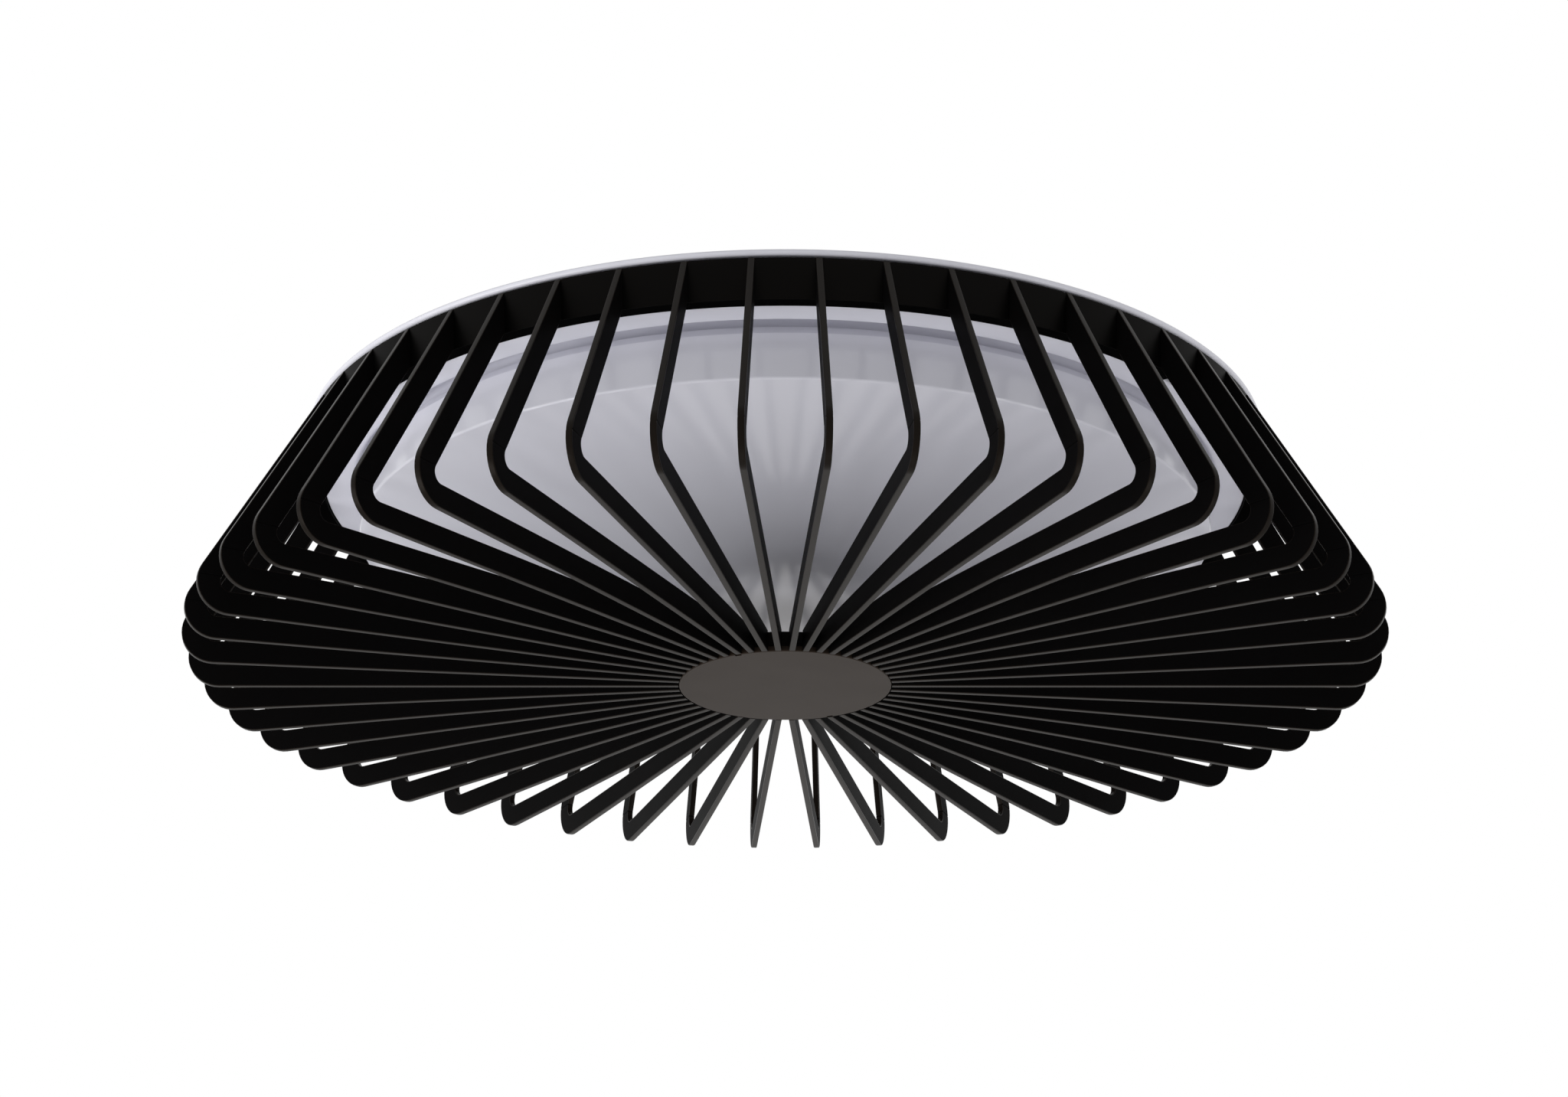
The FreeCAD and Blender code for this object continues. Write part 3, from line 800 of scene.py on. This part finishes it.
    def ring(self) -> None:
        """Turn and dress the ring, with its twist lugs and the notches that clear the clips."""
        flange_top = self.ring_bottom + self.ring_flange
        foot = (self.ring_foot, self.ring_bottom)
        top = (self.rim_radius, self.ring_top)
        bore = (self.ring_bore, self.ring_bottom)
        shape = Shape()
        shape.loop([
            foot, top, (self.rim_radius - self.ring_wall, self.ring_top),
            (self.ring_foot - self.ring_wall, flange_top), (self.ring_bore, flange_top), bore,
        ])
        shape.revolve(self.ring_steps)
        shape.round_corners([foot, top, bore], self.ring_round, segments=2)
        ring = new_object("cage_ring_turned", shape.mesh("cage_ring"))
        low = (self.ring_bore - self.notch_below, self.ring_bottom - self.notch_below)
        high = (self.notch_reach, flange_top + self.notch_above)
        middle = FIRST_CLIP - math.radians(self.cage_turn)
        notches = ring_of_blocks(low, high, self.notch_half, CLIP_COUNT, middle, self.notch_steps)
        combine(ring, notches, Cut.TAKE_AWAY)
        low = (self.lug_reach, self.lug_bottom)
        high = (self.rim_radius - self.ring_wall / 2, self.lug_bottom + self.lug_height)
        combine(ring, ring_of_blocks(low, high, self.lug_half, CLIP_COUNT, FIRST_CLIP), Cut.JOIN)
        dress(ring, [BLACK_ABS, SHADE_UNDER_ABS], Body.CAGE, ["cage_ring"])
        # Painted shade: faces that look down take the copy of the ABS without reflection
        for polygon in ring.data.polygons:
            polygon.material_index = int(polygon.normal.z < FACING_DOWN)

    def hub(self) -> None:
        """Turn and dress the cup that the ribs of the floor run in to."""
        hub_top = self.floor_z + self.rib_depth - self.hub_step
        pocket_z = self.floor_z + self.cap_thickness
        bore = self.hub_radius - self.hub_wall
        rim = (self.hub_radius, hub_top)
        shape = Shape()
        shape.chain([
            (0.0, hub_top - self.hub_plate), (bore, hub_top - self.hub_plate), (bore, pocket_z),
            (self.hub_radius, pocket_z), rim, (0.0, hub_top),
        ])
        shape.revolve(self.hub_steps)
        shape.round_corners([rim], self.hub_round)
        hub = new_object("cage_hub_turned", shape.mesh("cage_hub"))
        dress(hub, [BLACK_ABS], Body.CAGE, ["cage_hub"])

    def cap(self) -> None:
        """Turn and dress the cap, with its rounded rim, four legs and two prise notches."""
        top = self.floor_z + self.cap_thickness
        middle = top - self.cap_thickness / 2
        rim = (self.cap_radius, self.floor_z)
        shape = Shape()
        shape.chain([(0.0, self.floor_z), rim, (self.cap_radius, top), (0.0, top)])
        shape.revolve(self.cap_steps)
        shape.round_corners([rim], self.cap_round)
        cap = new_object("hub_cap_turned", shape.mesh("hub_cap"))
        notches = Shape()
        notches.cube(
            (self.cap_radius, 0.0, middle),
            (2 * self.prise_depth, self.prise_width, 2 * self.cap_thickness),
        )
        notches.repeat(self.prise_count, math.radians(self.prise_angle))
        combine(cap, notches, Cut.TAKE_AWAY)
        leg_top = self.floor_z + self.rib_depth - self.hub_step - self.hub_plate - self.leg_gap
        low = (self.leg_outer - self.leg_wall, middle)
        legs = ring_of_blocks(low, (self.leg_outer, leg_top), self.leg_half, self.leg_count, 0.0)
        combine(cap, legs, Cut.JOIN)
        # The cap's lighter warm grey is painted reflection of the floor below
        dress(cap, [CAP_ABS], Body.CAGE, ["hub_cap"])

    def build(self) -> None:
        """Make and dress all pieces of the cage."""
        self.ring()
        for above_seam, node in ((True, "side_ribs"), (False, "floor_ribs")):
            ribs = new_object(f"{node}_rounded", self.ribs(above_seam).mesh(node))
            # Painted shade on the flat sides of the ribs, painted sheen on their narrow faces
            dress(ribs, [SHADED_SIDE_ABS, SHEEN_EDGE_ABS], Body.CAGE, [node])
        self.hub()
        self.cap()


@dataclass(frozen=True)
class Drum:
    """The opal diffuser: a sloping shoulder, a straight wall and a shallow domed floor."""

    radius: float = 192.0
    wall: float = 2.2
    shoulder_inset: float = 1.5
    shoulder_round: float = 0.2
    top: float = -22.2
    shoulder_z: float = -25.5
    edge_z: float = -45.7
    edge_round: float = 1.0
    sag: float = 20.0
    steps: int = 200
    dome_steps: int = 26
    lug_reach: float = 3.3
    lug_bottom: float = -29.6
    lug_height: float = 2.7
    lug_half: float = 0.0527

    @property
    def sphere(self) -> float:
        """Radius of the dome."""
        return (self.radius ** 2 + self.sag ** 2) / (2 * self.sag)

    def build(self) -> None:
        """Turn the drum, add its twist lugs and dress it."""
        inner = self.radius - self.wall
        pole_z = self.edge_z - self.sag
        centre = (0.0, pole_z + self.sphere)
        shape = Shape()
        outside = shape.chain([(0.0, pole_z)])
        inside = shape.chain([(0.0, pole_z + self.wall)])
        wide = math.asin(self.radius / self.sphere)
        edge = pick(shape.arc(outside, centre, wide, self.dome_steps), BMVert)[0]
        wide = math.asin(inner / (self.sphere - self.wall))
        root = pick(shape.arc(inside, centre, wide, self.dome_steps), BMVert)[0]
        shoulder = (self.radius, self.shoulder_z)
        brim = (self.radius - self.shoulder_inset, self.top)
        wall = shape.chain([shoulder, brim, (inner, self.top)], edge)
        shape.bm.edges.new((wall[-1], root))
        shape.revolve(self.steps)
        shape.round_corners([(self.radius, self.edge_z)], self.edge_round, segments=4)
        shape.round_corners([shoulder], self.shoulder_round, segments=2)
        drum = new_object("diffuser_formed", shape.mesh("diffuser"))
        low = (inner - self.lug_reach, self.lug_bottom)
        high = (inner + self.wall / 2, self.lug_bottom + self.lug_height)
        combine(drum, ring_of_blocks(low, high, self.lug_half, CLIP_COUNT, FIRST_CLIP), Cut.JOIN)
        dress(drum, [OPAL], Body.DIFFUSER, ["diffuser", "diffuser_dome"])


@dataclass(frozen=True)
class Pan:
    """The pressed white pan with its turned-down rim, and the zinc-plated strap that carries it."""

    wall_radius: float = 208.9
    rim_radius: float = 217.2
    depth: float = 21.4
    sheet: float = 1.2
    heel_round: float = 1.2
    rim_height: float = 2.5
    rim_round: float = 1.9
    rim_lip: float = 3.6
    hem_round: float = 0.7
    groove_inner: float = 187.5
    groove_outer: float = 194.5
    groove_depth: float = 7.0
    groove_round: float = 2.4
    groove_edge_round: float = 1.0
    steps: int = 250
    screw_x: float = 85.0
    screw_hole: float = 2.15
    small_hole: float = 1.65
    grommet: Corner = (52.0, 28.0)
    grommet_hole: float = 5.0
    block_screw: Corner = (-108.0, 67.0)
    earth_screw: Corner = (-82.0, 26.0)
    board_screw_radius: float = 154.34
    board_screw_angles: tuple[float, ...] = (60.0, 180.0, 300.0)
    strap_width: float = 24.0
    strap_sheet: float = 2.0
    strap_bend: float = 3.0
    strap_half: float = 76.0
    foot: float = 18.0
    foot_round: float = 4.0
    cable_hole: float = 10.0
    cable_hole_sides: int = 48
    slot_x: float = 30.0
    slot_length: float = 20.0
    slot_width: float = 5.5

    @property
    def floor_top(self) -> float:
        """Height of the floor's upper face."""
        return self.sheet - self.depth

    @property
    def board_screws(self) -> list[Corner]:
        """Places of the board's screws.

        Returns:
            X and Y of each screw.
        """
        radius = self.board_screw_radius
        turns = [math.radians(angle) for angle in self.board_screw_angles]
        return [(radius * math.cos(turn), radius * math.sin(turn)) for turn in turns]

    def bead(self, height: float, grow: float) -> list[Corner]:
        """Draw one face of the groove that is pressed into the floor round the drum's edge.

        Args:
            height: Height of the floor's face.
            grow: How much wider the groove is on this face.

        Returns:
            Corners from the outer foot of the groove to its inner foot.
        """
        outer = self.groove_outer + grow
        inner = self.groove_inner - grow
        roof = height + self.groove_depth
        return [(outer, height), (outer, roof), (inner, roof), (inner, height)]

    def pressing(self) -> None:
        """Turn and dress the pan, with its folds rounded and its floor drilled."""
        heel = (self.wall_radius, -self.depth)
        hem = (self.rim_radius, 0.0)
        roll = (self.rim_radius, -self.rim_height)
        tuck = (self.rim_radius - self.sheet, self.sheet - self.rim_height)
        brow = (self.wall_radius - self.sheet, 0.0)
        lip = self.rim_radius - self.rim_lip
        groove = self.bead(-self.depth, 0.0)
        ridge = self.bead(self.floor_top, self.sheet)
        shape = Shape()
        shape.chain([
            (0.0, -self.depth), *reversed(groove), heel, (self.wall_radius, -self.sheet),
            (self.rim_radius - self.sheet, -self.sheet), tuck, (lip, tuck[1]), (lip, -self.rim_height),
            roll, hem, brow, (brow[0], self.floor_top), *ridge, (0.0, self.floor_top),
        ])
        shape.revolve(self.steps)
        shape.round_corners([heel, brow], self.heel_round, segments=4)
        shape.round_corners([hem], self.hem_round)
        shape.round_corners([groove[0], *ridge[1:3]], self.groove_round, segments=5)
        shape.round_corners(groove[1:], self.groove_edge_round)
        shape.round_corners([roll], self.rim_round, segments=6)
        shape.round_corners([tuck], self.rim_round - self.sheet, segments=4)
        pan = new_object("ceiling_pan_pressed", shape.mesh("ceiling_pan"))
        drilled = [(self.screw_x, 0.0, self.screw_hole), (-self.screw_x, 0.0, self.screw_hole)]
        for x, y in [self.block_screw, self.earth_screw, *self.board_screws]:
            drilled.append((x, y, self.small_hole))
        drilled.append((*self.grommet, self.grommet_hole))
        holes = Shape()
        for x, y, radius in drilled:
            holes.drum((x, y, self.sheet / 2 - self.depth), radius, 3 * self.sheet)
        combine(pan, holes, Cut.TAKE_AWAY)
        dress(pan, [POWDER], Body.BASE, ["ceiling_pan"])

    def strap(self) -> None:
        """Fold and dress the strap, with its cable hole, slots and screw holes."""
        low = self.floor_top
        step = low + self.strap_sheet
        inside = self.strap_half - self.strap_sheet
        end = self.strap_half + self.foot
        right = [(end, low), (end, step), (self.strap_half, step), (self.strap_half, 0.0)]
        under = [(inside, -self.strap_sheet), (inside, low)]
        mirrored = [(-x, z) for x, z in reversed(right)]
        mirrored += [(-x, z) for x, z in reversed(under)]
        shape = Shape()
        shape.face(right + mirrored + under)
        shape.thicken(self.strap_width)
        sides = (-1, 1)
        tight = self.strap_bend - self.strap_sheet
        for x, z, width in (
            (self.strap_half, 0.0, self.strap_bend),
            (inside, low, self.strap_bend),
            (self.strap_half, step, tight),
            (inside, -self.strap_sheet, tight),
        ):
            folds = [(side * x, z) for side in sides]
            shape.round_corners(folds, width, segments=4, across=sideways)

        def foot_corner(edge: BMEdge) -> bool:
            """Say whether an edge is a corner of a foot.

            Args:
                edge: An edge of the strap.

            Returns:
                True for the upright ones at the strap's ends.
            """
            first, second = edge.verts
            at_end = near(abs(first.co.x), end) and near(abs(second.co.x), end)
            return at_end and near(first.co.y, second.co.y)

        shape.bevel(foot_corner, self.foot_round, segments=5)
        strap = new_object("mounting_bracket_folded", shape.mesh("mounting_bracket"))
        holes = Shape()
        middle = -self.strap_sheet / 2
        tall = 2 * self.strap_sheet
        holes.drum((0.0, 0.0, middle), self.cable_hole, tall, self.cable_hole_sides)
        for side in sides:
            holes.stadium((side * self.slot_x, 0.0, middle), self.slot_length, self.slot_width, tall)
            holes.drum((side * self.screw_x, 0.0, low + self.strap_sheet / 2), self.screw_hole, tall)
        combine(strap, holes, Cut.TAKE_AWAY)
        dress(strap, [ZINC], Body.BASE, ["mounting_bracket"])

    def build(self) -> None:
        """Make and dress the pan and the strap."""
        self.pressing()
        self.strap()


@dataclass(frozen=True)
class ScrewKind:
    """Sizes of one kind of pan-head screw, with the lengths of its strokes in radii of the head."""

    shank: float
    head_radius: float
    head: float
    drive: Drive
    blade: float = 0.7
    crown_share: float = 0.7
    cross_span: float = 1.3
    slot_span: float = 3.0
    steps: int = 28

    def make(self, name: str, places: Sequence[Corner], seat: float, tip: float) -> Object:
        """Turn the screws, cut the recess in their heads and set them in place.

        Args:
            name: Name of the piece.
            places: Where they stand.
            seat: Height that the heads bear on.
            tip: Height that the shanks end at.

        Returns:
            The screws.
        """
        up = math.copysign(1.0, seat - tip)
        crown = seat + up * self.head
        rim = (self.head_radius, crown)
        shape = Shape()
        shape.chain([
            (0.0, crown), rim, (self.head_radius, seat), (self.shank, seat),
            (self.shank, tip + up * self.shank / 2), (self.shank / 2, tip), (0.0, tip),
        ])
        shape.revolve(self.steps)
        shape.round_corners([rim], self.head * self.crown_share, segments=5)
        shape.scatter(places)
        made = new_object(name, shape.mesh(name))
        span = self.cross_span if self.drive is Drive.CROSS else self.slot_span
        length = span * self.head_radius
        for stroke in range(self.drive.value):
            recess = Shape()
            size = (length, self.blade, self.head) if stroke == 0 else (self.blade, length, self.head)
            recess.cube((0.0, 0.0, crown), size)
            recess.scatter(places)
            combine(made, recess, Cut.TAKE_AWAY)
        return made


@dataclass(frozen=True)
class Fixings:
    """Screws that show their drives."""

    pan: Pan
    large: ScrewKind = ScrewKind(shank=2.0, head_radius=4.0, head=2.4, drive=Drive.CROSS, blade=0.9)
    small: ScrewKind = ScrewKind(shank=1.5, head_radius=2.8, head=1.8, drive=Drive.CROSS)
    clamp: ScrewKind = ScrewKind(shank=1.6, head_radius=2.0, head=1.5, drive=Drive.SLOT)
    board_face: float = -23.0
    block_top: float = -6.2
    tag_top: float = -19.4
    clamp_bottom: float = -13.0
    clamp_top: float = -9.0
    clamp_x: tuple[float, ...] = (-113.0, -103.0)

    def build(self) -> None:
        """Make and dress the screws."""
        pan = self.pan
        low = -pan.depth
        floor = pan.floor_top
        pan_places = [(pan.screw_x, 0.0), (-pan.screw_x, 0.0)]
        clamp_places = [(x, y) for x in self.clamp_x for y in POLES]
        clamp_seat = self.clamp_top - self.clamp.head
        for node, shown, kind, places, seat, tip in (
            ("pan_screws", "cross", self.large, pan_places, low, floor + 2 * pan.strap_sheet),
            ("board_screws", "cross", self.small, pan.board_screws, self.board_face, floor),
            ("terminal_fixing_screw", "cross", self.small, [pan.block_screw], self.block_top, low),
            ("earth_screw", "cross", self.small, [pan.earth_screw], self.tag_top, low),
            ("terminal_screws", "slotted", self.clamp, clamp_places, clamp_seat, self.clamp_bottom),
        ):
            made = kind.make(f"{node}_{shown}", places, seat, tip)
            dress(made, [ZINC], Body.BASE, [node])


@dataclass(frozen=True)
class Wiring:
    """The leads inside the lamp, and the grommet that two of them pass through."""

    lead_radius: float = 1.2
    lead_z: float = -14.2
    block_end: float = -104.0
    driver_end: float = -56.0
    earth_x: float = -82.0
    earth_straight: float = 6.0
    earth_drop: Corner = (5.0, 1.0)
    barrel_z: float = -17.5
    barrel_way: Corner = (42.2, 35.0)
    stripe_facing: float = 0.75
    led_radius: float = 0.9
    led_x: float = 52.0
    led_y: float = 28.0
    led_start: float = 46.0
    led_end: float = 93.0
    led_low: float = -25.1
    led_step: float = 1.4
    led_straight: float = 6.0
    led_drop: float = 4.0
    tube_resolution: int = 5
    route_resolution: int = 10
    route_order: int = 3
    bush: tuple[float, ...] = (3.6, 5.0, 6.3)
    bush_heights: tuple[float, ...] = (-22.7, -21.4, -20.2, -18.9)
    bush_round: float = 0.5
    bush_steps: int = 40

    def tube(self, name: str, routes: Sequence[Sequence[Place]], radius: float) -> Object:
        """Run round leads along smooth routes.

        Args:
            name: Name of the piece.
            routes: Control points of each lead.
            radius: Radius of the insulation.

        Returns:
            The leads as one mesh, each with its own material number.
        """
        curve = bpy.data.curves.new(name, "CURVE")
        curve.dimensions = "3D"
        curve.bevel_depth = radius * MM
        curve.bevel_resolution = self.tube_resolution
        curve.use_fill_caps = True
        curve.resolution_u = self.route_resolution
        for number, route in enumerate(routes):
            curve.materials.append(None)
            spline = curve.splines.new("NURBS")
            spline.points.add(len(route) - 1)
            for point, place in zip(spline.points, route):
                point.co = (*(Vector(place) * MM), 1.0)
            spline.order_u = self.route_order
            spline.use_endpoint_u = True
            spline.material_index = number
        source = new_object(name + "_route", curve)
        mesh = baked_mesh(source)
        bpy.data.objects.remove(source)
        return new_object(name, smooth(mesh))

    def supply(self, name: str, y: float) -> Object:
        """Run a lead with a slight bow from a pole to the driver.

        Args:
            name: Name of the piece.
            y: Place of the pole.

        Returns:
            The lead.
        """
        third = (self.driver_end - self.block_end) / 3
        middle = (self.driver_end + self.block_end) / 2
        bow = self.lead_radius / 2
        route = [
            (self.block_end, y, self.lead_z),
            (self.block_end + third, y, self.lead_z),
            (middle, y + bow, self.lead_z + bow),
            (self.driver_end - third, y, self.lead_z),
            (self.driver_end, y, self.lead_z),
        ]
        return self.tube(name, [route], self.lead_radius)

    def earth(self) -> None:
        """Run and dress the earth lead to its tag, with a yellow stripe above and below."""
        pole = POLES[0]
        route = [
            (self.block_end, pole, self.lead_z),
            (self.earth_x - self.earth_straight, pole, self.lead_z),
            (self.earth_x, pole, self.lead_z),
            (self.earth_x, pole - self.earth_drop[0], self.lead_z - self.earth_drop[1]),
            (self.earth_x, self.barrel_way[0], self.barrel_z),
            (self.earth_x, self.barrel_way[1], self.barrel_z),
        ]
        made = self.tube("earth_lead_round", [route], self.lead_radius)
        for polygon in made.data.polygons:
            polygon.material_index = int(abs(polygon.normal.z) > self.stripe_facing)
        striped = [GREEN_VINYL, YELLOW_VINYL]
        dress(made, striped, Body.BASE, ["earth_lead"])

    def pair(self) -> None:
        """Run and dress the two leads from the driver through the grommet to the board."""
        routes = []
        for step in (-self.led_step, self.led_step):
            x = self.led_x + step
            y = self.led_y - step
            routes.append([
                (x, self.led_start, self.lead_z),
                (x, y + self.led_straight, self.lead_z),
                (x, y, self.lead_z),
                (x, y, self.lead_z - self.led_drop),
                (x, y, self.led_low + self.led_drop),
                (x, y, self.led_low),
                (x + self.led_straight, y, self.led_low),
                (self.led_end, y, self.led_low),
            ])
        made = self.tube("led_leads_round", routes, self.led_radius)
        dress(made, [RED_VINYL, DARK_VINYL], Body.BASE, ["led_leads"])

    def grommet(self) -> None:
        """Turn and dress the rubber bush, with a flange on each side of the pan's floor."""
        bore, neck, flange = self.bush
        bottom, low, high, top = self.bush_heights
        shape = Shape()
        shape.loop([
            (bore, bottom), (flange, bottom), (flange, low), (neck, low),
            (neck, high), (flange, high), (flange, top), (bore, top),
        ])
        shape.revolve(self.bush_steps)
        ends = [(flange, bottom), (flange, top), (bore, bottom), (bore, top)]
        shape.round_corners(ends, self.bush_round)
        shape.scatter([(self.led_x, self.led_y)])
        made = new_object("lead_grommet_round", shape.mesh("lead_grommet"))
        dress(made, [RUBBER], Body.BASE, ["lead_grommet"])

    def build(self) -> None:
        """Make and dress the leads and the grommet."""
        neutral = self.supply("neutral_lead_round", POLES[1])
        live = self.supply("live_lead_round", POLES[2])
        dress(neutral, [BLUE_VINYL], Body.BASE, ["neutral_lead"])
        dress(live, [BROWN_VINYL], Body.BASE, ["live_lead"])
        self.earth()
        self.pair()
        self.grommet()


@dataclass(frozen=True)
class CarriedOver:
    """A node whose shape is right as it is: it gets a finish and softened edges."""

    node: str
    finish: Finish
    round_mm: float = 0.0
    round_segments: int = 2

    def build(self) -> None:
        """Dress the node and soften its edges."""
        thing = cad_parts[self.node]
        thing.data.materials.clear()
        thing.data.materials.append(self.finish.material())
        if self.round_mm > 0:
            weld = thing.modifiers.new("weld", "WELD")
            weld.merge_threshold = WELD_MM * MM
            flats = thing.modifiers.new("flats", "DECIMATE")
            flats.decimate_type = "DISSOLVE"
            flats.angle_limit = FLAT_ANGLE
            edges = thing.modifiers.new("edges", "BEVEL")
            edges.width = self.round_mm * MM
            edges.segments = self.round_segments
            edges.limit_method = "ANGLE"
            edges.angle_limit = EDGE_ANGLE
        LOG.info("%s keeps its shape", self.node)


KEPT_NODES = (
    CarriedOver("cage_clips", ZINC, round_mm=0.2),
    CarriedOver("diffuser_clips", ZINC, round_mm=0.2),
    CarriedOver("driver_case", DRIVER_WHITE, round_mm=0.5),
    CarriedOver("driver_cover", DRIVER_WHITE, round_mm=0.5),
    CarriedOver("driver_pad", FOAM),
    CarriedOver("terminal_block", POLYAMIDE, round_mm=0.4),
    CarriedOver("earth_tag", BRASS, round_mm=0.15),
    CarriedOver("led_board", SOLDER_MASK),
    CarriedOver("led_chips", PHOSPHOR),
    CarriedOver("led_connector", NYLON, round_mm=0.3),
)


@dataclass(frozen=True)
class Softbox:
    """A square soft light aimed at the lamp, in metres."""

    name: str
    place: Place
    size: float
    watts: float

    def build(self, target: Vector) -> None:
        """Hang the light.

        Args:
            target: Point that it is aimed at.
        """
        lamp = bpy.data.lights.new(self.name, "AREA")
        lamp.shape = "SQUARE"
        lamp.size = self.size
        lamp.energy = self.watts
        thing = new_object(self.name, lamp)
        thing.location = self.place
        aim = target - Vector(self.place)
        thing.rotation_euler = aim.to_track_quat("-Z", "Y").to_euler()
        thing.visible_camera = False


@dataclass(frozen=True)
class Studio:
    """Camera, soft lights, a white surround and a pale floor under the lamp, in metres."""

    camera_place: Place = (0.0, -1.4966, -0.6258)
    camera_tilt: float = 111.218
    lens: float = 81.22
    sensor: float = 36.0
    shift_x: float = -0.0008
    floor_z: float = -3.0
    floor_half: float = 20.0
    floor_colour: str = "E6E5E8"
    floor_roughness: float = 0.8
    floor_lift: float = 0.9
    glow_colour: str = "FEFCFA"
    ambient: float = 0.445
    target: Place = (0.0, 0.0, -0.06)
    softboxes: tuple[Softbox, ...] = (
        Softbox("high_left", (-2.2, -0.5, -0.5), size=1.2, watts=9.7),
        Softbox("low_left", (-1.8, -0.8, -1.4), size=1.2, watts=20.5),
        Softbox("below", (0.0, -0.4, -2.6), size=1.6, watts=7.5),
        Softbox("right", (1.7, -0.8, -1.5), size=1.2, watts=10.2),
    )

    def camera(self) -> None:
        """Stand the camera below the lamp, as in the photograph."""
        data = bpy.data.cameras.new("camera")
        data.lens = self.lens
        data.sensor_width = self.sensor
        data.shift_x = self.shift_x
        thing = new_object("camera", data)
        thing.location = self.camera_place
        thing.rotation_euler = (math.radians(self.camera_tilt), 0.0, 0.0)
        bpy.context.scene.camera = thing

    @staticmethod
    def seen(tree: NodeTree) -> NodeSocket:
        """Add nodes that tell what the camera, gloss and glass see.

        Args:
            tree: Tree that takes the nodes.

        Returns:
            A value of one for those rays.
        """
        rays = add_node(tree, "LightPath")
        value = rays.outputs["Is Camera Ray"]
        for name in ("Is Glossy Ray", "Is Transmission Ray"):
            both = {0: value, 1: rays.outputs[name]}
            value = add_node(tree, "Math", both, operation="MAXIMUM").outputs[0]
        return value

    def world(self) -> None:
        """Surround the lamp with white that is dimmer as a light than it looks."""
        world = bpy.data.worlds.new("white_surround")
        world.use_nodes = True
        tree = world.node_tree
        tree.nodes.clear()
        dim = add_node(tree, "Background", {"Color": WHITE, "Strength": self.ambient})
        bright = add_node(tree, "Background", {"Color": WHITE, "Strength": 1.0})
        mixed = {0: self.seen(tree), 1: dim.outputs[0], 2: bright.outputs[0]}
        mix = add_node(tree, "MixShader", mixed)
        add_node(tree, "OutputWorld", {"Surface": mix.outputs[0]})
        bpy.context.scene.world = world

    def floor(self) -> None:
        """Lay the pale floor, which looks brighter than it is as a light."""
        shape = bmesh.new()
        level = Matrix.Translation((0.0, 0.0, self.floor_z))
        bmesh.ops.create_grid(shape, x_segments=1, y_segments=1, size=self.floor_half, matrix=level)
        mesh = bpy.data.meshes.new("floor")
        shape.to_mesh(mesh)
        shape.free()
        material = bpy.data.materials.new("pale_floor")
        material.use_nodes = True
        tree = material.node_tree
        tree.nodes.clear()
        plain = {"Base Color": linear(self.floor_colour), "Roughness": self.floor_roughness}
        matt = add_node(tree, "BsdfPrincipled", plain)
        glow = add_node(tree, "Emission", {"Color": linear(self.glow_colour), "Strength": 1.0})
        share = add_node(tree, "Math", {0: self.seen(tree), 1: self.floor_lift}, operation="MULTIPLY")
        mixed = {0: share.outputs[0], 1: matt.outputs[0], 2: glow.outputs[0]}
        mix = add_node(tree, "MixShader", mixed)
        add_node(tree, "OutputMaterial", {"Surface": mix.outputs[0]})
        mesh.materials.append(material)
        new_object("floor", mesh)

    def build(self) -> None:
        """Set up the camera, the surround, the floor and the lights."""
        bpy.context.scene.view_settings.view_transform = "Standard"
        self.camera()
        self.world()
        self.floor()
        for softbox in self.softboxes:
            softbox.build(Vector(self.target))


def main() -> None:
    """Build the studio, then the lamp's pieces in order."""
    logging.basicConfig(level=logging.INFO, format="%(message)s")
    pan = Pan()
    Studio().build()
    for part in (pan, Drum(), Cage(), Fixings(pan), Wiring(), *KEPT_NODES):
        part.build()


if __name__ == "__main__":
    main()
